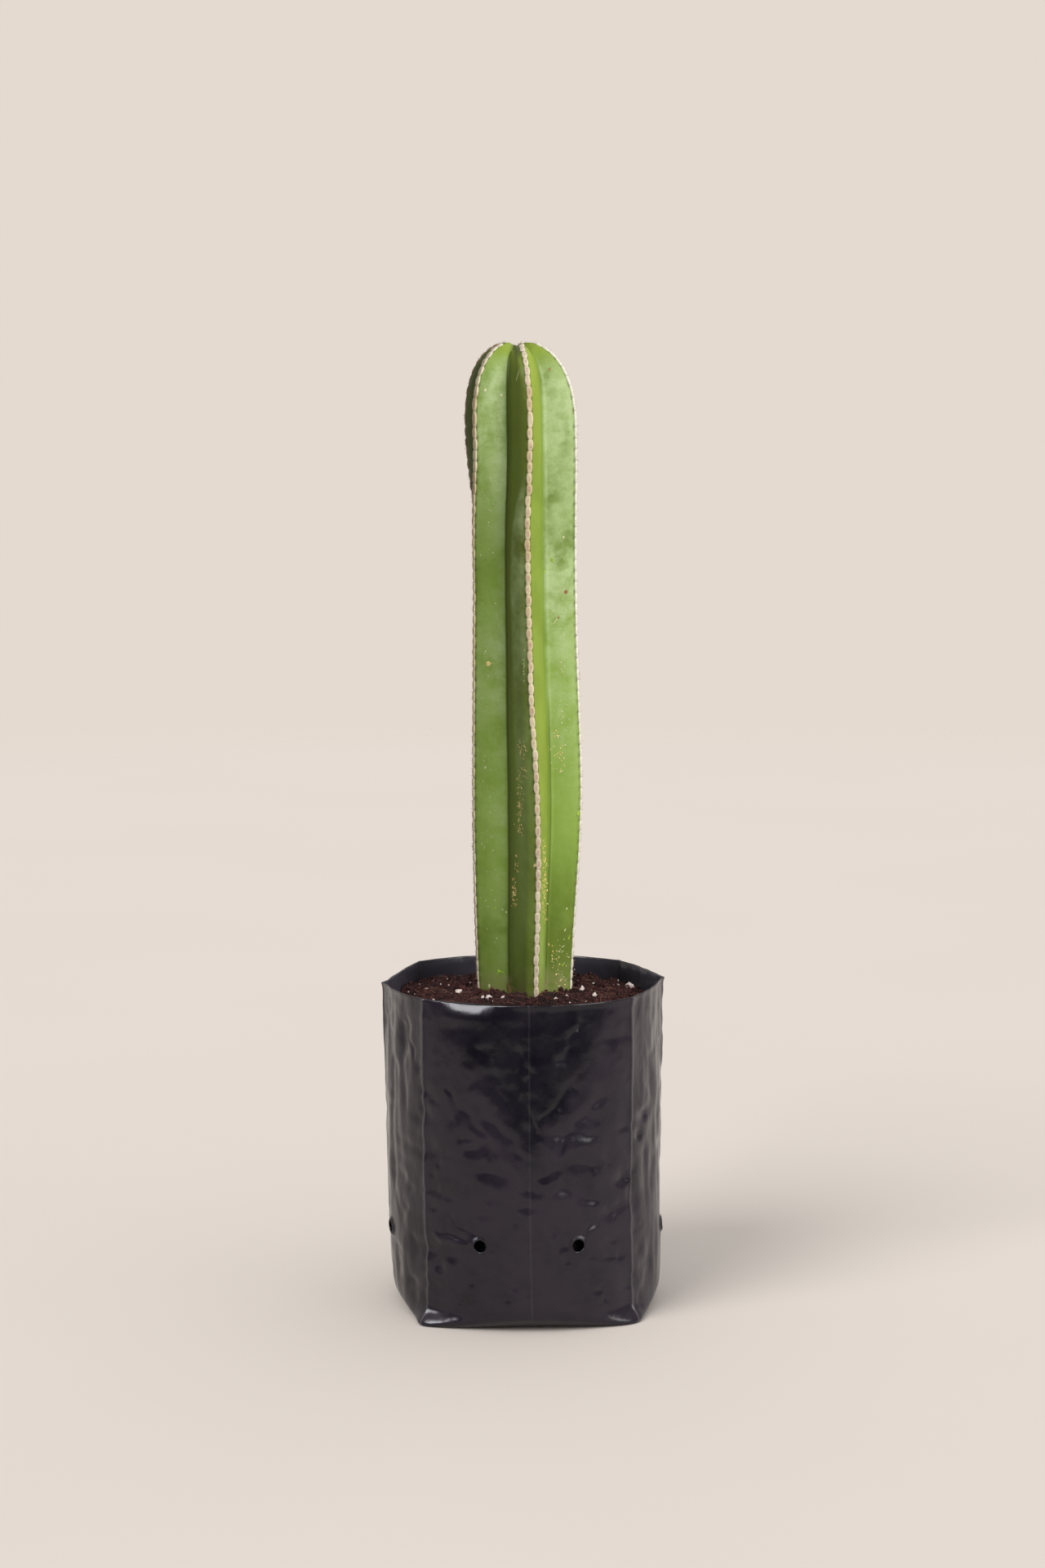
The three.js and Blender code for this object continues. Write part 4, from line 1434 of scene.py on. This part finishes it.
crumb_shape = lump_template("crumb", 1, 0.5, 1.0)
crumb_spots = crumb_places(CRUMB_COUNT, 11) + crumb_places(FOOT_CRUMB_COUNT, 12, near_stem=True)
for name, places, lightness in (("loose_crumbs", crumb_spots, 0.03),
                                ("bark_chips", crumb_places(CHIP_COUNT, 13, flat=0.35), 0.06)):
    finish = soil_finish(name, lightness)
    finish_piece(name, scatter(crumb_shape, places), finish, smooth=False)

# %% Coir fibres
FIBRE_SECTIONS = 7
FIBRE_COUNT = 520
BESIDE_STEM = 0.08


def fibre_template():
    """A thin three-sided strand, one millimetre long, with rings along it to bend."""
    bm = bmesh.new()
    bmesh.ops.create_cone(bm, segments=3, radius1=0.5, radius2=0.35, depth=1.0)
    rails = [edge for edge in bm.edges if abs(edge.verts[0].co.z - edge.verts[1].co.z) > 0.5]
    bmesh.ops.subdivide_edges(bm, edges=rails, cuts=FIBRE_SECTIONS)
    return as_mesh("fibre", bm)


def coir_fibres(count, seed):
    dice = random.Random(seed)
    bm, strands = copies(fibre_template(), count)
    for verts in strands:
        spot = soil_spot(dice, near_stem=dice.random() < BESIDE_STEM)
        turn = dice.uniform(0, 2 * math.pi)
        length, thick = dice.uniform(3, 11), dice.uniform(0.16, 0.4)
        bend, arch, tip = dice.uniform(-0.6, 0.6), dice.uniform(0.0, 1.3), dice.uniform(-0.2, 1.2)
        ground = crumbled_height(spot.x, spot.y) * 0.5
        for vert in verts:
            along = vert.co.z
            way = turn + bend * along * 2
            x = spot.x + math.cos(way) * along * length - math.sin(turn) * vert.co.x * thick
            y = spot.y + math.sin(way) * along * length + math.cos(turn) * vert.co.x * thick
            lift = arch * (1 - (2 * along) ** 2) + tip * (along + 0.5) + vert.co.y * thick
            vert.co = (x, y, ground + soil_height(x, y) * 0.5 + lift)
    return bm


fibre_finish = two_tone("coir_fibre", 120, (0.05, 0.022, 0.016), (0.21, 0.1, 0.065), 0.7, 1.4)
finish_piece("coir_fibres", coir_fibres(FIBRE_COUNT, 21), fibre_finish)

# %% [markdown]
# Perlite is volcanic glass puffed up like popcorn. The fourteen larger grains stand for CAD
# nodes of their own, so each is one piece in the same place. The smaller ones are placed by
# the photograph's pixels where it shows them, and by chance round the back.

# %% Perlite
GRAINS = [
    (63, 22.5, 5.2), (-37.5, -11.5, 4.3), (-34, 9.5, 2.8), (-21, -31, 3.3), (-55.5, 26, 2.6),
    (23.5, -26, 2.8), (17, -32.5, 2.8), (33.5, -6.5, 2.6), (39.5, -24.5, 2.8), (-12.5, -30.5, 2.4),
    (57.5, 38, 2.2), (33, 31, 2.8), (-8, 52, 4), (-31, 48, 3.4),
]
SMALL_GRAINS = {
    (522, 1210.5): 1.9, (531, 1224): 1.8, (540, 1207): 1.3, (548, 1222): 1, (554, 1218.5): 1.8,
    (576, 1205): 1.3, (591, 1224): 1.9, (617, 1222): 1.6, (713, 1212): 1.6, (718, 1228): 1.4,
    (728.5, 1219.6): 1.7, (735, 1195.5): 1.3, (754, 1200.6): 1.3, (757, 1207): 1.4, (782, 1204.6): 1.3,
    (764.6, 1195): 1.2, (780, 1207.6): 1.3, (604, 1228): 1, (698, 1229): 1.1,
}
INNER_WALL_CRUMBS = {(704, 1187): 1.1, (703, 1193): 1.3, (708, 1197): 1.1, (706, 1183): 0.6}
BACK_GRAIN_COUNT = 60
GRAIN_RISE, GRAIN_WIDTH, GRAIN_FLATNESS = 0.12, 0.86, 0.85
PERLITE_WHITE = (0.68, 0.58, 0.55)
PERLITE_PIT = (0.4, 0.31, 0.28)
PERLITE_STAIN = (0.42, 0.27, 0.21)


def perlite_finish():
    grain = finish_named("perlite")
    pits = grain.noise(1300, 4, 0.7)
    stain = grain.noise(350, 2, 0.5)
    colour = grain.layers(PERLITE_WHITE, (grain.span(pits, 0.3, 0.52, 0.45, 0.0), PERLITE_PIT),
                          (grain.span(stain, 0.55, 0.75, 0.0, 0.7), PERLITE_STAIN))
    return grain.set(Base_Color=colour, Normal=grain.bump(pits, 0.0006, 0.8), Roughness=0.85, IOR=1.4)


perlite_material = perlite_finish()
for number, (x, y, diameter) in enumerate(GRAINS, start=1):
    dice = random.Random(100 + number)
    turn = Matrix.Rotation(dice.uniform(0, 2 * math.pi), 4, "Z")
    place = (x, y, soil_height(x, y) + GRAIN_RISE * diameter)
    matrix = lump_matrix(place, turn, diameter, diameter * GRAIN_WIDTH, diameter * GRAIN_FLATNESS)
    lump = scatter(lump_template("grain", 4, 0.42, float(number)), [matrix])
    node = f"perlite_grain_{number:02d}"
    finish_piece(f"perlite_{number:02d}", lump, perlite_material, [node])


# %% Smaller perlite
def small_grain_places():
    dice = random.Random(31)
    spots = []
    for pixel, size in SMALL_GRAINS.items():
        point, _ = seen_at(soil_surface, *pixel)
        if point is not None:
            spots.append((point.x, point.y, size))
    for _ in range(BACK_GRAIN_COUNT):
        spot = soil_spot(dice)
        if spot.y > 0:
            spots.append((spot.x, spot.y, dice.uniform(0.6, 1.7)))
    places = []
    for x, y, size in spots:
        z = max(crumbled_height(x, y), soil_height(x, y)) + 0.25 * size
        wide = size * dice.uniform(0.7, 1)
        places.append(lump_matrix((x, y, z), tumbled(dice), size, wide, size * 0.8))
    for pixel, size in INNER_WALL_CRUMBS.items():
        point, normal = seen_at(bag_surface, *pixel)
        places.append(Matrix.Translation(point + normal * 0.3) @ Matrix.Scale(size, 4))
    return places


fines = scatter(lump_template("fines", 2, 0.4, 7.0), small_grain_places())
finish_piece("perlite_fines", fines, perlite_material)

# %% [markdown]
# The skin carries small scars: tan and brown scabs, pale scratches and bright green nicks.
# Each is a low blister set into the skin at its pixel. A row gives the pixel, the width and
# height in millimetres and the lean in degrees. A row of specks gives the two ends of a
# line in the photograph, how far the specks stray from it, and how many there are.

# %% Scars on the skin
SCARS = {
    "scab_tan": [(598, 813, 2.7, 2.9, 0), (581, 573, 1.6, 4, 4), (655, 1060, 1.6, 2.6, 30),
        (629, 1094, 1.4, 3.6, 0), (632, 1048, 0.9, 1.6, 0), (628, 1078, 0.8, 1, 0),
        (668, 1052, 0.8, 1.4, 0), (669, 1078, 0.8, 1.6, 10), (667, 1100, 0.8, 1.8, 0),
        (666, 1117, 0.8, 1.4, 0), (705, 1106, 1.2, 2, 0), (636, 985, 0.9, 2.6, 0)],
    "scab_brown": [(693, 725, 2.3, 2.5, 0), (673, 452, 0.9, 2.4, 20), (579, 1154, 1.2, 6, 0),
        (684, 756, 0.9, 1.6, 30), (581, 568, 1, 1.6, 0), (634, 1012, 0.8, 1.2, 0),
        (630, 1089, 0.8, 1.6, 0), (624, 1212, 1, 8, -16)],
    "scratch_pale": [(594, 478, 1.5, 2.2, 20), (614, 484, 2, 1.6, 30), (634, 460, 0.7, 8, 20),
        (680, 761, 0.7, 5, 32), (686, 770, 1.6, 0.7, 0), (687, 811, 1.1, 1.2, 0), (691, 816, 1.2, 1, 0),
        (689, 823, 1.2, 1, 0), (690, 658, 1.4, 1.4, 0), (606.5, 739, 0.9, 0.9, 0),
        (590, 855, 0.9, 1.1, 0), (694, 1113, 0.9, 1.6, 20), (692, 1139, 0.9, 2.2, 25),
        (697, 1172, 0.8, 1.2, 0), (615.5, 1114, 1.2, 1.2, 0), (620, 1117, 1.4, 1.4, 0),
        (683, 903, 1.2, 0.9, 0), (678, 914, 1.2, 0.9, 0), (641, 813, 0.7, 1.4, 0),
        (641, 822, 0.8, 0.8, 0), (594, 940, 1.2, 1.6, 20), (697, 881, 1, 1.2, 0), (688, 885, 1, 1, 0),
        (637, 909, 1.1, 1.6, -30), (599, 1208, 1.4, 3, 0), (686, 945, 0.9, 1.2, 0),
        (692, 912, 0.8, 1, 0)],
    "nick_green": [(708, 996, 1.4, 3.2, 15), (613, 1190, 3.6, 1.1, 10), (610, 1190, 1.1, 3.4, 20),
        (676, 686, 1.6, 2.6, -20), (667, 700, 1, 1.4, 0), (606, 1112, 0.9, 1.2, 0), (600, 981, 1, 1, 0),
        (697, 1148, 0.8, 3.4, 20), (689, 1182, 0.8, 2, 0)],
}
SPECK_ROWS = [
    ("scab_tan", 639, 905, 640, 955, 6, 46), ("scab_tan", 637, 955, 636, 1020, 4.5, 70),
    ("scab_tan", 633, 1035, 632, 1070, 2.5, 12), ("scab_tan", 629.5, 1074, 630, 1110, 3.5, 50),
    ("scab_tan", 667, 1030, 667, 1128, 3.5, 150), ("scab_tan", 682, 898, 688, 945, 7, 34),
    ("scratch_pale", 642, 795, 641, 838, 1.2, 9), ("scratch_pale", 595, 560, 603, 900, 14, 26),
    ("scratch_pale", 690, 560, 694, 860, 12, 24), ("scratch_pale", 590, 920, 606, 1180, 12, 30),
    ("scratch_pale", 688, 1150, 690, 1205, 9, 34), ("scab_tan", 672, 1150, 690, 1212, 9, 30),
    ("scratch_pale", 688, 862, 696, 900, 7, 16),
]
SCAR_COLOURS = {
    "scab_tan": ((0.74, 0.47, 0.12), (1.0, 0.84, 0.4)),
    "scab_brown": ((0.2, 0.085, 0.03), (0.46, 0.23, 0.09)),
    "scratch_pale": ((0.42, 0.47, 0.2), (0.72, 0.72, 0.42)),
    "nick_green": ((0.2, 0.36, 0.02), (0.42, 0.62, 0.05)),
}
SCAR_HEIGHT = 0.3


def scar_finish(name):
    scar = finish_named(name)
    flecks = scar.noise(700, 3, 0.7)
    colour = scar.mix(scar.span(flecks, 0.35, 0.65), *SCAR_COLOURS[name])
    return scar.set(Base_Color=colour, Normal=scar.bump(flecks, 0.0003, 0.6), Roughness=0.7, IOR=1.4)


def speck_marks(name):
    """Pinprick specks, scattered along lines of the photograph."""
    dice = random.Random(91)
    marks = []
    for finish, x, y, *end, spread, count in SPECK_ROWS:
        for _ in range(count):
            pixel = Vector((x, y)).lerp(Vector(end), dice.random())
            pixel += Vector((dice.gauss(0, 0.5), dice.gauss(0, 0.5))) * spread
            size = dice.uniform(0.4, 1.0)
            if finish == name:
                marks.append((*pixel, size, size * dice.uniform(0.8, 1.6), dice.uniform(-40, 40)))
    return marks


def scar_places(marks):
    places = []
    for x, y, wide, tall, lean in marks:
        point, normal = seen_at(skin_surface, x, y)
        if point is None:
            continue
        side = UP.cross(normal).normalized()
        axes = Matrix((side, normal.cross(side), normal)).transposed().to_4x4()
        turn = axes @ Matrix.Rotation(math.radians(-lean), 4, "Z")
        places.append(lump_matrix(point, turn, wide, tall, SCAR_HEIGHT))
    return places


skin_surface = surface_of(stem)
scar_shape = lump_template("scar", 2, 0.5, 4.0)
speck_shape = lump_template("speck", 1, 0.3, 4.0)
for name, marks in SCARS.items():
    finish = scar_finish(name)
    finish_piece(name, scatter(scar_shape, scar_places(marks)), finish)
    specks = scar_places(speck_marks(name))
    if specks:
        finish_piece(f"{name}_specks", scatter(speck_shape, specks), finish)

# %% [markdown]
# The studio is a pale floor that fades into an even, pale air, so no horizon shows. Light
# that has bounced off the floor is held back, as a dark card beside the plant would do, so
# that the faces turned away from the lamp stay deep.

# %% Floor
FLOOR_COLOUR = (0.93, 0.85, 0.785)
FLOOR_BOUNCE = (0.36, 0.33, 0.31)
FLOOR_GRAIN = 0.985
FLOOR_HALF_SIDE = 4.0
FLOOR_MIDDLE = (0.0, 0.95, 0.0)
FLOOR_SOLID = 1.46
FLOOR_GONE = 2.05


def floor_finish():
    floor = finish_named("studio_floor")
    grain = floor.span(floor.noise(2.2, 2, 0.5), 0.3, 0.7)
    bounced = floor.node("LightPath").outputs["Is Diffuse Ray"]
    darker = tuple(c * FLOOR_GRAIN for c in FLOOR_COLOUR)
    colour = floor.layers(FLOOR_COLOUR, (grain, darker), (bounced, FLOOR_BOUNCE))
    away = floor.node("VectorMath", {0: floor.place, 1: FLOOR_MIDDLE}, operation="DISTANCE")
    fade = floor.span(away.outputs["Value"], FLOOR_SOLID, FLOOR_GONE, 1.0, 0.0)
    return floor.set(Base_Color=colour, Alpha=fade, Roughness=1.0, Specular_IOR_Level=0.0)


plant = [obj for obj in bpy.context.scene.objects if obj.type == "MESH"]
ground = bmesh.new()
bmesh.ops.create_grid(ground, x_segments=8, y_segments=8, size=FLOOR_HALF_SIDE)
studio_floor = add_object("studio_floor", as_mesh("studio_floor", ground))
studio_floor.data.materials.append(floor_finish())

# %% [markdown]
# Two large soft lamps light the scene. One stands at the front right and lights the plant's
# faces. The other stands high at the front left, throws the soft shadow on the floor and
# glints on the rim of the film, and a flag keeps it off the plant. The world adds an even
# fill, the pale backdrop that the camera sees, and a room for reflections that is dark
# behind the camera, because the glossy film needs that darkness to look black.

# %% Lights
LAMPS = {"plant_lamp": (44, 26, 2.3, 40), "floor_lamp": (-46, 41, 1.4, 34)}
LAMP_COLOUR = (1.0, 0.985, 0.96)
GREEN = ("stem_skin", "felt", "short_spines", "scab", "scratch", "nick")


def direction_to(azimuth, height):
    turn = math.radians(height)
    return heading(azimuth) * math.cos(turn) + UP * math.sin(turn)


def soft_lamp(name, objects):
    """A lamp that lights only some of the objects, as a flag in front of it would."""
    azimuth, height, strength, spread = LAMPS[name]
    light = bpy.data.lights.new(name, "SUN")
    light.energy = strength
    light.angle = math.radians(spread)
    light.color = LAMP_COLOUR
    sun = add_object(name, light)
    sun.rotation_euler = direction_to(azimuth, height).to_track_quat("Z", "Y").to_euler()
    group = bpy.data.collections.new(name + "_receivers")
    for obj in objects:
        group.objects.link(obj)
    sun.light_linking.receiver_collection = group


soft_lamp("plant_lamp", plant)
soft_lamp("floor_lamp", [studio_floor] + [obj for obj in plant if not obj.name.startswith(GREEN)])

# %% World
BACKDROP = (0.775, 0.701, 0.631)
FILL = (0.68, 0.675, 0.67)
FILL_DIM = (0.3, 0.3, 0.3)
ROOM_DARK = (0.012, 0.012, 0.017)
ROOM_PALE = (0.7, 0.645, 0.6)
ROOM_RIGHT = (0.36, 0.33, 0.31)
SOFTBOX = (10.0, 10.0, 10.6)
SOFTBOX_PLACE = (-40, 42)
SOFTBOX_EDGE = (20, 13)


def studio_world():
    world = bpy.data.worlds.new("studio")
    bpy.context.scene.world = world
    sky = Finish(world, "Generated")
    rays = sky.node("LightPath").outputs
    right, back, _ = sky.node("SeparateXYZ", {0: sky.place}).outputs
    box = sky.node("VectorMath", {0: sky.place, 1: direction_to(*SOFTBOX_PLACE)}, operation="DOT_PRODUCT")
    outer, inner = (math.cos(math.radians(angle)) for angle in SOFTBOX_EDGE)
    room = sky.mix(sky.span(right, 0.6, 0.95), ROOM_PALE, ROOM_RIGHT)
    room = sky.mix(sky.span(back, -0.7, 0.3), ROOM_DARK, room)
    room = sky.mix(sky.span(box.outputs["Value"], outer, inner), room, SOFTBOX)
    fill = sky.mix(sky.span(right, -0.8, 0.2), FILL_DIM, FILL)
    seen = sky.mix(rays["Is Glossy Ray"], fill, room)
    sky.set("Background", Color=sky.mix(rays["Is Camera Ray"], seen, BACKDROP))


studio_world()
view = bpy.context.scene.view_settings
view.view_transform = "Standard"
view.look = "None"
